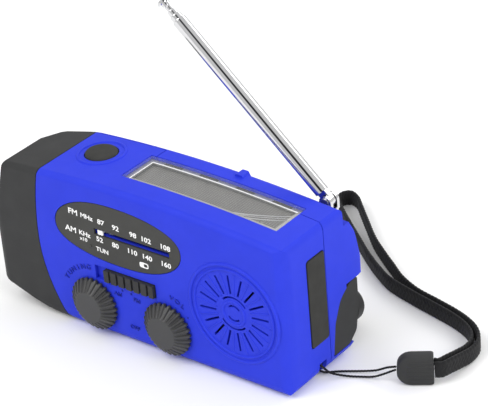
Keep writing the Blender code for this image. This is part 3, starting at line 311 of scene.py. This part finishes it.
NODE_LOOKS = {
    "blue": ("front_shell", "rear_shell"),
    "dark": ("torch_bezel", "crank_housing", "crank_arm"),
    "knob": ("tuning_knob", "volume_knob"),
    "slot_shade_blue": ("dial_guide",),
    "dial": ("dial_plate",),
    "black": ("torch_switch", "band_slider", "crank_knob"),
    "white": ("dial_pointer",),
    "nylon": ("dial_cord", "tuning_drum", "tuning_capacitor", "crank_gear", "idler_gear"),
    "paper": ("speaker_cone",),
    "ferrite": ("speaker_magnet", "ferrite_rod"),
    "wrap": ("battery",),
    "rubber": ("torch_button",),
    "cover": ("port_cover",),
    "chrome": ("torch_reflector", "antenna_base", "antenna_tube_1", "antenna_tube_2", "antenna_tube_3",
               "antenna_tube_4", "antenna_tip"),
    "steel": ("band_switch", "volume_control", "speaker_frame", "usb_socket", "micro_usb_socket",
              "dynamo_rotor", "dynamo_body", "gearbox_front_plate", "gearbox_rear_plate", "crank_screw",
              "antenna_hinge_screw", "case_screw_1", "case_screw_2", "case_screw_3", "housing_screw",
              "strap_bar"),
    "trim": ("solar_frame",),
    "clear": ("torch_lens", "solar_window"),
    "bulb": ("torch_led_1", "torch_led_2", "torch_led_3"),
    "solar": ("solar_cell",),
    "board": ("torch_board", "main_board", "port_board"),
}
ROUND_EDGES = {
    "front_shell": 0.25, "rear_shell": 0.25, "torch_bezel": 0.3, "crank_housing": 0.4, "crank_arm": 0.4,
    "crank_knob": 0.3, "port_cover": 0.35, "torch_button": 0.2, "band_slider": 0.25, "tuning_knob": 0.15,
    "volume_knob": 0.15, "antenna_base": 0.2, "dial_plate": 0.12, "dial_pointer": 0.1,
}


def dress_cad():
    """Gives every CAD node its material, joined smooth faces and softly broken edges."""
    for look, names in NODE_LOOKS.items():
        for name in names:
            node = NODES[name]
            mesh = node.data
            normals = mesh.attributes.get("custom_normal")
            if normals:
                mesh.attributes.remove(normals)
            mesh.polygons.foreach_set("use_smooth", [True] * len(mesh.polygons))
            mesh.materials.clear()
            mesh.materials.append(MATERIALS[look])
            weld = node.modifiers.new("weld", "WELD")
            weld.merge_threshold = 0.002 * MM
            if name in ROUND_EDGES:
                edge = node.modifiers.new("edges", "BEVEL")
                edge.width = ROUND_EDGES[name] * MM
                edge.segments = 2
                edge.limit_method = "ANGLE"
                edge.angle_limit = math.radians(38.0)
            split = node.modifiers.new("split", "EDGE_SPLIT")
            split.split_angle = math.radians(38.0)
            even = node.modifiers.new("even", "WEIGHTED_NORMAL")
            even.keep_sharp = True


# Pieces


def piece(name, verts, faces, body, look, smooth=True):
    mesh = bpy.data.meshes.new(name)
    mesh.from_pydata([tuple(v) for v in verts], [], faces)
    builder = bmesh.new()
    builder.from_mesh(mesh)
    bmesh.ops.recalc_face_normals(builder, faces=builder.faces)
    builder.to_mesh(mesh)
    builder.free()
    mesh.polygons.foreach_set("use_smooth", [smooth] * len(mesh.polygons))
    mesh.materials.append(MATERIALS[look])
    made = bpy.data.objects.new(name, mesh)
    SCENE.collection.objects.link(made)
    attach(made, body)
    return made


def loops_to_faces(rows, columns, closed_rows=False):
    """Faces of a grid whose columns close into loops."""
    faces = []
    for i in range(rows if closed_rows else rows - 1):
        for j in range(columns):
            here, following = i * columns, (i + 1) % rows * columns
            after = (j + 1) % columns
            faces.append((here + j, here + after, following + after, following + j))
    return faces


def front_ring(name, centre, profile, sides=96):
    """A ring standing on the case's front. profile is (radius, height out of the face) in millimetres."""
    verts = []
    for radius, height in profile:
        for k in range(sides):
            angle = 2 * math.pi * k / sides
            verts.append((centre.x + radius * MM * math.cos(angle), FRONT_Y - height * MM,
                          centre.z + radius * MM * math.sin(angle)))
    return piece(name, verts, loops_to_faces(len(profile), sides, True), "case", "blue")


def bead(inner, outer, height, steps=6):
    """A low rounded ridge's cross-section, from its inner to its outer radius."""
    points = []
    for k in range(steps + 1):
        part = k / steps
        points.append((inner + (outer - inner) * part, height * math.sin(math.pi * part) ** 0.6 - 0.02))
    return [*points, (outer, -0.15), (inner, -0.15)]


def shell_surface():
    shell = NODES["front_shell"].data
    return BVHTree.FromPolygons([v.co for v in shell.vertices], [tuple(p.vertices) for p in shell.polygons])


def button_ring():
    """The low ridge round the torch button, laid on the curved top."""
    surface = shell_surface()
    profile = bead(7.7, 8.9, 0.42)
    sides = 72
    verts = []
    for radius, height in profile:
        for k in range(sides):
            angle = 2 * math.pi * k / sides
            spot = Vector((BUTTON.x + radius * MM * math.cos(angle), BUTTON.y + radius * MM * math.sin(angle),
                           0.2))
            hit = surface.ray_cast(spot, Vector((0, 0, -1)))[0]
            verts.append((spot.x, spot.y, hit.z + height * MM))
    piece("button_ring", verts, loops_to_faces(len(profile), sides, True), "case", "blue")


def lettering(name, words, x, z, size, look, y, depth=0.06, turn=0.0, heavy=0.0,
              wide=1.15):
    """Plain generic lettering on the front, centred at x, z in millimetres on the case."""
    curve = bpy.data.curves.new(name, "FONT")
    curve.body = words
    curve.size = size * MM
    curve.align_x = "CENTER"
    curve.align_y = "CENTER"
    curve.extrude = depth / 2 * MM
    curve.offset = heavy * MM
    curve.resolution_u = 3
    text = bpy.data.objects.new(name + "_curve", curve)
    SCENE.collection.objects.link(text)
    text.matrix_world = (Matrix.Translation(on_case(x, y, z)) @ Matrix.Rotation(-turn, 4, "Y")
                         @ Matrix.Rotation(math.pi / 2, 4, "X") @ Matrix.Diagonal((wide, 1, 1, 1)))
    bpy.context.view_layer.update()
    graph = bpy.context.evaluated_depsgraph_get()
    mesh = bpy.data.meshes.new_from_object(text.evaluated_get(graph))
    mesh.transform(text.matrix_world)
    bpy.data.objects.remove(text)
    mesh.name = name
    mesh.materials.clear()
    mesh.materials.append(MATERIALS[look])
    made = bpy.data.objects.new(name, mesh)
    SCENE.collection.objects.link(made)
    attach(made, "case")
    return made


def dial_print():
    face = (DIAL_FRONT_Y - FRONT_Y) / MM - 0.02
    row_start, row_end = 39.9, 79.7

    def height(x, left, right):
        return left + (right - left) * (x - row_start) / (row_end - row_start)

    upper = (("FM", 39.9, 3.0), ("MHz", 45.9, 2.45), ("87", 52.2, 2.6), ("92", 58.6, 2.6), ("98", 66.1, 2.6),
             ("102", 71.6, 2.6), ("108", 79.7, 2.6))
    lower = (("AM", 38.0, 3.0), ("KHz", 44.1, 2.45), ("52", 50.8, 2.6), ("80", 57.7, 2.6), ("110", 64.9, 2.6),
             ("140", 71.3, 2.6), ("160", 79.3, 2.6))
    lean = math.atan2(-2.3, row_end - row_start)
    for words, x, size in upper:
        lettering(f"print_fm_{words}", words, x, height(x, 46.5, 44.2), size, "white", face, turn=lean,
                  heavy=0.06)
    for words, x, size in lower:
        lettering(f"print_am_{words}", words, x, height(x, 39.2, 37.5), size, "white", face, turn=lean,
                  heavy=0.06)
    lettering("print_times_ten", "x10", 43.4, 36.8, 1.9, "white", face, turn=lean, heavy=0.04)
    lettering("print_tune", "TUN", 51.4, 34.6, 2.3, "white", face, turn=lean, heavy=0.05)


def dial_symbol():
    """The battery symbol: a rounded outline, half filled."""
    face = (DIAL_FRONT_Y - FRONT_Y) / MM - 0.04
    outer, inner = [], []
    for k in range(32):
        angle = 2 * math.pi * k / 32
        reach_x = math.copysign(abs(math.cos(angle)) ** 0.5, math.cos(angle))
        reach_z = math.copysign(abs(math.sin(angle)) ** 0.5, math.sin(angle))
        outer.append((69.6 + 1.9 * reach_x, 34.4 + 1.05 * reach_z))
        inner.append((70.3 + 0.8 * reach_x, 34.4 + 0.6 * reach_z))
    verts = [on_case(x, y, z) for y in (face, face + 0.06) for x, z in (*outer, *inner)]
    faces = []
    for k in range(32):
        j = (k + 1) % 32
        faces += [(k, j, 32 + j, 32 + k), (64 + k, 96 + k, 96 + j, 64 + j), (k, 64 + k, 64 + j, j),
                  (32 + k, 32 + j, 96 + j, 96 + k)]
    piece("print_battery", verts, faces, "case", "white", smooth=False)


def arc_words(name, words, centre, radius, start, end, size):
    """Raised lettering that follows an arc round a knob."""
    for k, letter in enumerate(words):
        angle = math.radians(start + (end - start) * k / (len(words) - 1))
        x = (centre.x - CORNER.x) / MM + radius * math.cos(angle)
        z = (centre.z - CORNER.z) / MM + radius * math.sin(angle)
        lettering(f"{name}_{k + 1}", letter, x, z, size, "blue_mark", -0.12, 0.3, angle - math.pi / 2, 0.02)


def dot(name, x, z, radius=0.45, look="blue_mark"):
    steps = 5
    sides = 16
    verts = []
    for i in range(steps):
        part = math.pi / 2 * i / steps
        for k in range(sides):
            angle = 2 * math.pi * k / sides
            verts.append(on_case(x + radius * math.cos(part) * math.cos(angle), -0.3 * math.sin(part),
                                 z + radius * math.cos(part) * math.sin(angle)))
    verts.append(on_case(x, -0.3, z))
    verts.append(on_case(x, 0.1, z))
    faces = loops_to_faces(steps, sides)
    top, bottom = len(verts) - 2, len(verts) - 1
    for k in range(sides):
        j = (k + 1) % sides
        faces += [((steps - 1) * sides + k, (steps - 1) * sides + j, top), (j, k, bottom)]
    piece(name, verts, faces, "case", look)


def front_marks():
    arc_words("mark_tuning", "TUNING", TUNING, 13.7, 150.0, 96.0, 2.6)
    arc_words("mark_volume", "VOL", VOLUME, 12.9, 78.0, 56.0, 2.4)
    lettering("mark_am", "AM", 56.4, 19.2, 2.1, "blue_mark", -0.12, 0.3, -0.05, 0.02)
    lettering("mark_fm", "FM", 64.6, 19.0, 2.1, "blue_mark", -0.12, 0.3, -0.05, 0.02)
    lettering("mark_off", "OFF", 62.4, 7.5, 2.1, "blue_mark", -0.12, 0.3, -0.05, 0.02)
    for k, (x, z) in enumerate(((58.4, 21.0), (62.3, 20.9), (86.6, 19.3))):
        dot(f"mark_dot_{k + 1}", x, z)
    dot("dial_lamp", 46.4, 35.1, 0.5, "dial")


def speaker_ridges():
    front_ring("speaker_ridge_outer", SPEAKER, bead(17.3, 18.7, 0.6))
    front_ring("speaker_ridge_middle", SPEAKER, bead(15.6, 16.7, 0.55))
    front_ring("speaker_ridge_inner", SPEAKER, bead(3.8, 5.0, 0.45), sides=64)
    for k in range(16):
        speaker_rib(k)


def speaker_rib(k):
    """A fine rounded rib between two of the slots."""
    angle = 2 * math.pi * (k + 0.75) / 16
    along = Vector((math.cos(angle), 0, math.sin(angle)))
    across = Vector((-along.z, 0, along.x))
    centre = Vector((SPEAKER.x, FRONT_Y, SPEAKER.z))
    profile = ((-0.32, 0.15), (-0.32, 0.0), (-0.17, -0.22), (0.17, -0.22), (0.32, 0.0), (0.32, 0.15))
    verts = []
    for reach, tall in ((6.9, 0.2), (7.4, 1.0), (14.4, 1.0), (15.0, 0.2)):
        for side, out in profile:
            verts.append(centre + along * reach * MM + across * side * MM
                         + Vector((0, (out * tall if out < 0 else out) * MM, 0)))
    faces = loops_to_faces(4, 6)
    faces += [tuple(range(6)), tuple(18 + i for i in range(6))]
    piece(f"speaker_rib_{k + 1}", verts, faces, "case", "blue")


def solar_trim():
    """The bright inner border and the contact strips that show under the solar window."""
    low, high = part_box("solar_frame")
    surface = BVHTree.FromPolygons([v.co for v in NODES["solar_frame"].data.vertices],
                                   [tuple(p.vertices) for p in NODES["solar_frame"].data.polygons])

    def top(x, y):
        hit = surface.ray_cast(Vector((x, y, 0.2)), Vector((0, 0, -1)))[0]
        return hit.z if hit else high.z

    def strip(name, x_low, x_high, y_low, y_high, rise, look):
        steps = 12
        verts = []
        for i in range(steps + 1):
            x = x_low + (x_high - x_low) * i / steps
            z = top(min(max(x, low.x + 0.5 * MM), high.x - 0.5 * MM), high.y - 1.0 * MM)
            for y, up in ((y_low, 0.02), (y_high, 0.02), (y_high, rise), (y_low, rise)):
                verts.append((x, y, z + up * MM))
        faces = loops_to_faces(steps + 1, 4)
        faces += [(0, 1, 2, 3), tuple(4 * steps + k for k in range(4))]
        piece(name, verts, faces, "case", look, smooth=False)

    edge = 1.75 * MM
    wide = 0.4 * MM
    strip("solar_border_back", low.x + edge, high.x - edge, high.y - edge - wide, high.y - edge, 0.16,
          "white")
    strip("solar_border_left", low.x + edge, low.x + edge + wide, low.y + 0.4 * MM, high.y - edge, 0.16,
          "white")
    count = 4
    step = (high.x - low.x - 2 * edge) / (count * 2)
    for k in range(count):
        start = low.x + edge + step * (2 * k + 0.6)
        strip(f"solar_contact_{k + 1}", start, start + step, high.y - 1.35 * MM, high.y - 0.25 * MM, 0.1,
              "contact")


def painted_cell_reflections():
    """Painted reflections: bright metal strips laid on the right end of the cell, standing in for the curved
    bright reflections that lie across it.
    """
    low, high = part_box("solar_cell")
    surface = BVHTree.FromPolygons([v.co for v in NODES["solar_cell"].data.vertices],
                                   [tuple(p.vertices) for p in NODES["solar_cell"].data.polygons])
    painted_reflection_strips = ((93.5, 117.2, 0.5), (95.5, 117.6, 0.28), (99.0, 117.8, 0.4))
    for number, (left, right, wide) in enumerate(painted_reflection_strips):
        verts = []
        steps = 24
        for i in range(steps + 1):
            part = i / steps
            x = left + (right - left) * part
            y = 11.7 + (23.0 - 1.3 * number - 11.7) * part ** 1.5
            for side in (-wide, wide):
                spot = on_case(x, y + side * (1 - 0.6 * part), 0)
                hit = surface.ray_cast(Vector((spot.x, spot.y, 0.2)), Vector((0, 0, -1)))[0]
                top = hit.z if hit else high.z
                verts += [(spot.x, spot.y, top - 0.05 * MM), (spot.x, spot.y, top + 0.06 * MM)]
        faces = []
        for i in range(steps):
            a, b = 4 * i, 4 * i + 4
            faces += [(a + 1, b + 1, b + 3, a + 3), (a, a + 2, b + 2, b), (a, b, b + 1, a + 1),
                      (a + 2, a + 3, b + 3, b + 2)]
        faces += [(0, 1, 3, 2), (4 * steps, 4 * steps + 2, 4 * steps + 3, 4 * steps + 1)]
        piece(f"painted_cell_reflection_{number + 1}", verts, faces, "case", "painted_reflection", smooth=False)


# Strap

WEB_HEIGHT = 6.0
WEB_THICKNESS = 1.3
STRING_DIAMETER = 0.8
BAR = middle("strap_bar") - CORNER
FERRULE_START = Vector((150.6, 27.3))
FERRULE_END = Vector((160.8, 33.7))
FERRULE_WAY = (FERRULE_END - FERRULE_START).normalized()
FERRULE_SIDE = Vector((-FERRULE_WAY.y, FERRULE_WAY.x))
FERRULE_MIDDLE_Z = 5.5
FERRULE_HEIGHT = 10.8
FERRULE_THICKNESS = 5.0
GAP = 0.3
FLOOR_GAP = 0.05


def smooth_line(points, spacing):
    """A smooth line through route points, with a point about every spacing."""
    route = [Vector(p) for p in points]
    ends = [route[0] * 2 - route[1], *route, route[-1] * 2 - route[-2]]
    line = [route[0]]
    for i in range(1, len(ends) - 2):
        p0, p1, p2, p3 = ends[i - 1:i + 3]
        count = max(1, round((p2 - p1).length / spacing))
        for k in range(1, count + 1):
            t = k / count
            line.append(0.5 * ((2 * p1) + (p2 - p0) * t + (2 * p0 - 5 * p1 + 4 * p2 - p3) * t * t
                               + (3 * p1 - p0 - 3 * p2 + p3) * t ** 3))
    return line


STRING_OUT = (
    (146.4, 27.8, 4.0), (142.0, 27.4, 1.6), (136.6, 25.6, 0.5), (131.4, 22.4, 0.5), (127.4, 19.4, 0.5),
)
STRING_BACK = (
    (127.9, 17.0, 4.3), (130.2, 18.2, 2.0), (134.0, 20.8, 0.6), (139.0, 23.2, 0.5), (144.0, 24.6, 1.6),
)


def string_line():
    """Out of the tab, under and round the bar in the case, and back to the tab."""
    start = FERRULE_START - FERRULE_WAY * (GAP + 0.05)
    bar_radius = 1.3
    bend = STRING_DIAMETER / 2 + bar_radius + GAP
    wrap = []
    for k in range(9):
        angle = math.radians(-80 - 200 * k / 8)
        wrap.append((BAR.x / MM + bend * math.cos(angle), 18.4 - 1.8 * k / 8,
                     BAR.z / MM + bend * math.sin(angle)))
    ends = [(*(start + FERRULE_SIDE * side), FERRULE_MIDDLE_Z) for side in (0.9, -0.9)]
    return smooth_line([ends[0], *STRING_OUT, *wrap, *STRING_BACK, ends[1]], 0.25)


WEB_ROUTE = (
    (163.4, 38.9), (163.8, 44.2), (164.1, 49.8), (163.2, 54.9), (160.2, 59.2), (155.6, 62.5), (148.6, 65.3),
    (139.0, 67.8), (129.4, 70.2),
)
WEB_NEAR_LOOP = ((118.0, 72.4), (110.4, 76.6), (102.0, 82.4), (92.6, 89.9), (82.6, 98.0), (73.4, 105.8))
WEB_FAR_LOOP = ((120.6, 75.6), (113.4, 80.8), (106.2, 86.0), (97.0, 93.2), (87.2, 102.6), (79.4, 110.2))
WEB_FOLD = ((69.2, 110.2), (68.6, 113.8), (71.0, 116.0), (75.2, 114.2))
WEB_SPACING = 2.3


def web_line():
    """The doubled webbing from the tab to its loop's end and back, standing on its edge."""
    start = FERRULE_END + FERRULE_WAY * GAP
    route = [start, start + FERRULE_WAY * 2.0, *(Vector(p) for p in WEB_ROUTE)]
    resting = WEB_HEIGHT / 2 + FLOOR_GAP
    drop_steps = 3.5
    strands = ([], [])
    for i, here in enumerate(route):
        before = route[max(i - 1, 0)]
        after = route[min(i + 1, len(route) - 1)]
        way = (after - before).normalized()
        across = Vector((-way.y, way.x)) * WEB_SPACING / 2
        fall = min(1.0, max(0, i - 1) / drop_steps)
        height = resting + (FERRULE_MIDDLE_Z - resting) * (1 + math.cos(math.pi * fall)) / 2
        strands[0].append((*(here + across), height))
        strands[1].append((*(here - across), height))
    near, far, fold = ([(x, y, resting) for x, y in part] for part in (WEB_NEAR_LOOP, WEB_FAR_LOOP, WEB_FOLD))
    return smooth_line([*strands[0], *near, *fold, *far[::-1], *strands[1][::-1]], 0.42)


def swept(name, line, section, lift, look):
    """A closed tube along a line in millimetres. section gives (across, up) for a place round it, and lift
    how far the surface stands out there."""
    sides = len(section)
    verts = []
    travelled = 0.0
    for i, here in enumerate(line):
        before = line[max(i - 1, 0)]
        after = line[min(i + 1, len(line) - 1)]
        way = (after - before).normalized()
        across = way.cross(Vector((0, 0, 1))).normalized()
        up = across.cross(way)
        if i:
            travelled += (here - line[i - 1]).length
        for k, (a, b) in enumerate(section):
            grow = 1 + lift(travelled, k / sides, a, b)
            spot = here + across * a * grow + up * b * grow
            verts.append(on_case(*spot))
    faces = loops_to_faces(len(line), sides)
    faces += [tuple(range(sides))[::-1], tuple((len(line) - 1) * sides + k for k in range(sides))]
    return piece(name, verts, faces, "case", look)


def make_string():
    line = string_line()
    radius = STRING_DIAMETER / 2
    section = [(radius * math.cos(2 * math.pi * k / 12), radius * math.sin(2 * math.pi * k / 12))
               for k in range(12)]

    def twist(travelled, part, *_):
        """Two-ply lay of the string."""
        return 0.1 * math.cos(2 * math.pi * (3 * part - travelled / 1.1)) - 0.1

    made = swept("strap_string_cord", line, section, twist, "cloth")
    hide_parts("strap_string")
    return made


def make_webbing():
    line = web_line()
    half_height, half_thick = WEB_HEIGHT / 2, WEB_THICKNESS / 2
    rows = 11
    section = []
    for k in range(rows):
        up = -half_height + half_thick * 0.7 + (2 * half_height - 1.4 * half_thick) * k / (rows - 1)
        section.append((half_thick, up))
    section += [(half_thick * 0.5, half_height), (-half_thick * 0.5, half_height)]
    section += [(-a, b) for a, b in section[:rows][::-1]]
    section += [(-half_thick * 0.5, -half_height), (half_thick * 0.5, -half_height)]
    pick = 1.7

    def weave(travelled, _, across, up):
        """Herringbone plait: rows that slope one way, then the other, across the width."""
        slope = abs(((up / WEB_HEIGHT + 0.5) * 3) % 2 - 1)
        wave = abs(math.cos(math.pi * (travelled / pick + slope * 0.9))) ** 0.7
        depth = 0.4
        if abs(up) > half_height - 0.9:
            depth = 0.42 if abs(across) >= half_thick else 0.05
        return depth * (wave - 1)

    made = swept("strap_webbing_cloth", line, section, weave, "cloth")
    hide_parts("strap_webbing")
    return made, [on_case(*p) for p in line]


def tab_outline(inset=0.0, steps=10):
    length = (FERRULE_END - FERRULE_START).length
    low, high = FLOOR_GAP + inset, FERRULE_HEIGHT - inset
    left, right = inset, length - inset
    outline = []
    for x, z, radius, start in ((right - 0.8, low + 0.8, 0.8, -90), (right - 0.8, high - 0.8, 0.8, 0),
                                (left + 4.6, high - 4.6, 4.6, 90), (left + 4.6, low + 4.6, 4.6, 180)):
        for k in range(steps + 1):
            angle = math.radians(start + 90 * k / steps)
            outline.append((x + radius * math.cos(angle), z + radius * math.sin(angle)))
    return outline


def make_tab():
    """The moulded tab, with a rounded rim and ribs along both of its sides."""
    length = (FERRULE_END - FERRULE_START).length
    half = FERRULE_THICKNESS / 2
    layers = ((-half, 0.7), (-half + 0.25, 0.25), (-half + 0.7, 0.0), (half - 0.7, 0.0), (half - 0.25, 0.25),
              (half, 0.7))
    verts = []
    for side, inset in layers:
        for along, up in tab_outline(inset):
            spot = FERRULE_START + FERRULE_WAY * along + FERRULE_SIDE * side
            verts.append(on_case(spot.x, spot.y, up))
    count = len(verts) // len(layers)
    faces = loops_to_faces(len(layers), count)
    faces += [tuple(range(count))[::-1], tuple((len(layers) - 1) * count + k for k in range(count))]
    body = piece("strap_tab", verts, faces, "case", "dark")
    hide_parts("strap_ferrule")
    verts, faces = [], []
    ribs = 6
    for side in (-1, 1):
        for k in range(ribs):
            up = FERRULE_HEIGHT / 2 + (k - (ribs - 1) / 2) * 1.45
            reach = abs(up - FERRULE_HEIGHT / 2)
            start = 3.6 - math.sqrt(max(0.0, 4.6 ** 2 - reach ** 2)) * 0.35 + 1.2
            first = len(verts)
            for along in (start, start + 0.5, length - 0.9, length - 0.5):
                tall = 0.18 if start < along < length - 0.5 else -0.05
                for rise, wide in ((-0.1, 0.42), (tall, 0.2)):
                    for way in (-1, 1):
                        spot = FERRULE_START + FERRULE_WAY * along + FERRULE_SIDE * side * (half + rise)
                        verts.append(on_case(spot.x, spot.y, up + way * wide))
            for i in range(3):
                a, b = first + 4 * i, first + 4 * (i + 1)
                faces += [(a, b, b + 2, a + 2), (a + 2, b + 2, b + 3, a + 3), (a + 3, b + 3, b + 1, a + 1),
                          (a + 1, b + 1, b, a)]
            last = first + 12
            faces += [(first, first + 2, first + 3, first + 1), (last, last + 1, last + 3, last + 2)]
    ribs_piece = piece("strap_tab_ribs", verts, faces, "case", "dark")
    return body, ribs_piece


def make_strap():
    body, ribs = make_tab()
    webbing, path = make_webbing()
    make_string()


# Stage


def make_stage():
    mesh = bpy.data.meshes.new("floor")
    half = 6.0
    corners = [(-half, -half, 0), (half, -half, 0), (half, half, 0), (-half, half, 0)]
    mesh.from_pydata(corners, [], [(0, 1, 2, 3)])
    floor = bpy.data.objects.new("floor", mesh)
    floor.location.z = -0.0001
    SCENE.collection.objects.link(floor)
    g = Graph("floor_paint")
    g.link(g.ramp(g.noise(3.0, 2.0), (0.9, 0.9, 0.9), (0.92, 0.92, 0.92)), g.shader.inputs["Base Color"])
    g.shader.inputs["Roughness"].default_value = 0.9
    g.shader.inputs["Specular IOR Level"].default_value = 0.1
    mesh.materials.append(g.material)


def softbox(name, place, target, size, power):
    data = bpy.data.lights.new(name, "AREA")
    data.shape = "RECTANGLE"
    data.size, data.size_y = size
    data.energy = power
    lamp = bpy.data.objects.new(name, data)
    lamp.location = place
    lamp.rotation_euler = (Vector(target) - Vector(place)).to_track_quat("-Z", "Y").to_euler()
    SCENE.collection.objects.link(lamp)


# Ways to the dark cards that the chrome reflects, and the cosine at which each card ends
DARK_CARDS = (((-0.80, -0.35, 0.48), 0.955), ((0.93, 0.30, 0.20), 0.94), ((-0.2, 0.5, 0.84), 0.975))


def make_light():
    world = bpy.data.worlds.new("studio")
    SCENE.world = world
    world.use_nodes = True
    tree = world.node_tree
    background = tree.nodes["Background"]
    where = tree.nodes.new("ShaderNodeTexCoord")
    dot_product = tree.nodes.new("ShaderNodeVectorMath")
    dot_product.operation = "DOT_PRODUCT"
    dot_product.inputs[1].default_value = tuple(VIEW_BACK)
    tree.links.new(where.outputs["Generated"], dot_product.inputs[0])
    ramp = tree.nodes.new("ShaderNodeValToRGB")
    ramp.color_ramp.elements[0].position = 0.93
    ramp.color_ramp.elements[1].position = 0.965
    ramp.color_ramp.elements[0].color = (1, 1, 1, 1)
    ramp.color_ramp.elements[1].color = (0.04, 0.04, 0.045, 1)
    tree.links.new(dot_product.outputs["Value"], ramp.inputs["Fac"])
    shown = ramp.outputs["Color"]
    for flag, edge in DARK_CARDS:
        aim = tree.nodes.new("ShaderNodeVectorMath")
        aim.operation = "DOT_PRODUCT"
        aim.inputs[1].default_value = tuple(Vector(flag).normalized())
        tree.links.new(where.outputs["Generated"], aim.inputs[0])
        card = tree.nodes.new("ShaderNodeValToRGB")
        card.color_ramp.elements[0].position = edge
        card.color_ramp.elements[1].position = edge + 0.01
        card.color_ramp.elements[0].color = (1, 1, 1, 1)
        card.color_ramp.elements[1].color = (0.03, 0.03, 0.03, 1)
        tree.links.new(aim.outputs["Value"], card.inputs["Fac"])
        both = tree.nodes.new("ShaderNodeMix")
        both.data_type = "RGBA"
        both.blend_type = "MULTIPLY"
        both.inputs["Factor"].default_value = 1.0
        tree.links.new(shown, both.inputs["A"])
        tree.links.new(card.outputs["Color"], both.inputs["B"])
        shown = both.outputs["Result"]
    tree.links.new(shown, background.inputs["Color"])
    background.inputs["Strength"].default_value = 0.8
    softbox("key", (-0.35, -0.7, 0.95), (0.0, 0.0, 0.03), (0.7, 0.7), 7.5)
    softbox("fill", (0.95, -0.15, 0.5), (0.0, 0.0, 0.03), (0.7, 0.7), 6.0)
    softbox("rim", (0.1, 0.9, 0.8), (0.0, 0.0, 0.03), (1.2, 0.6), 4.0)
    SCENE.view_settings.view_transform = "Standard"
    SCENE.view_settings.look = "None"


make_strap()
dress_cad()
speaker_ridges()
button_ring()
dial_print()
dial_symbol()
front_marks()
solar_trim()
# Painted reflections: bright strips on the solar cell
painted_cell_reflections()
make_stage()
make_light()
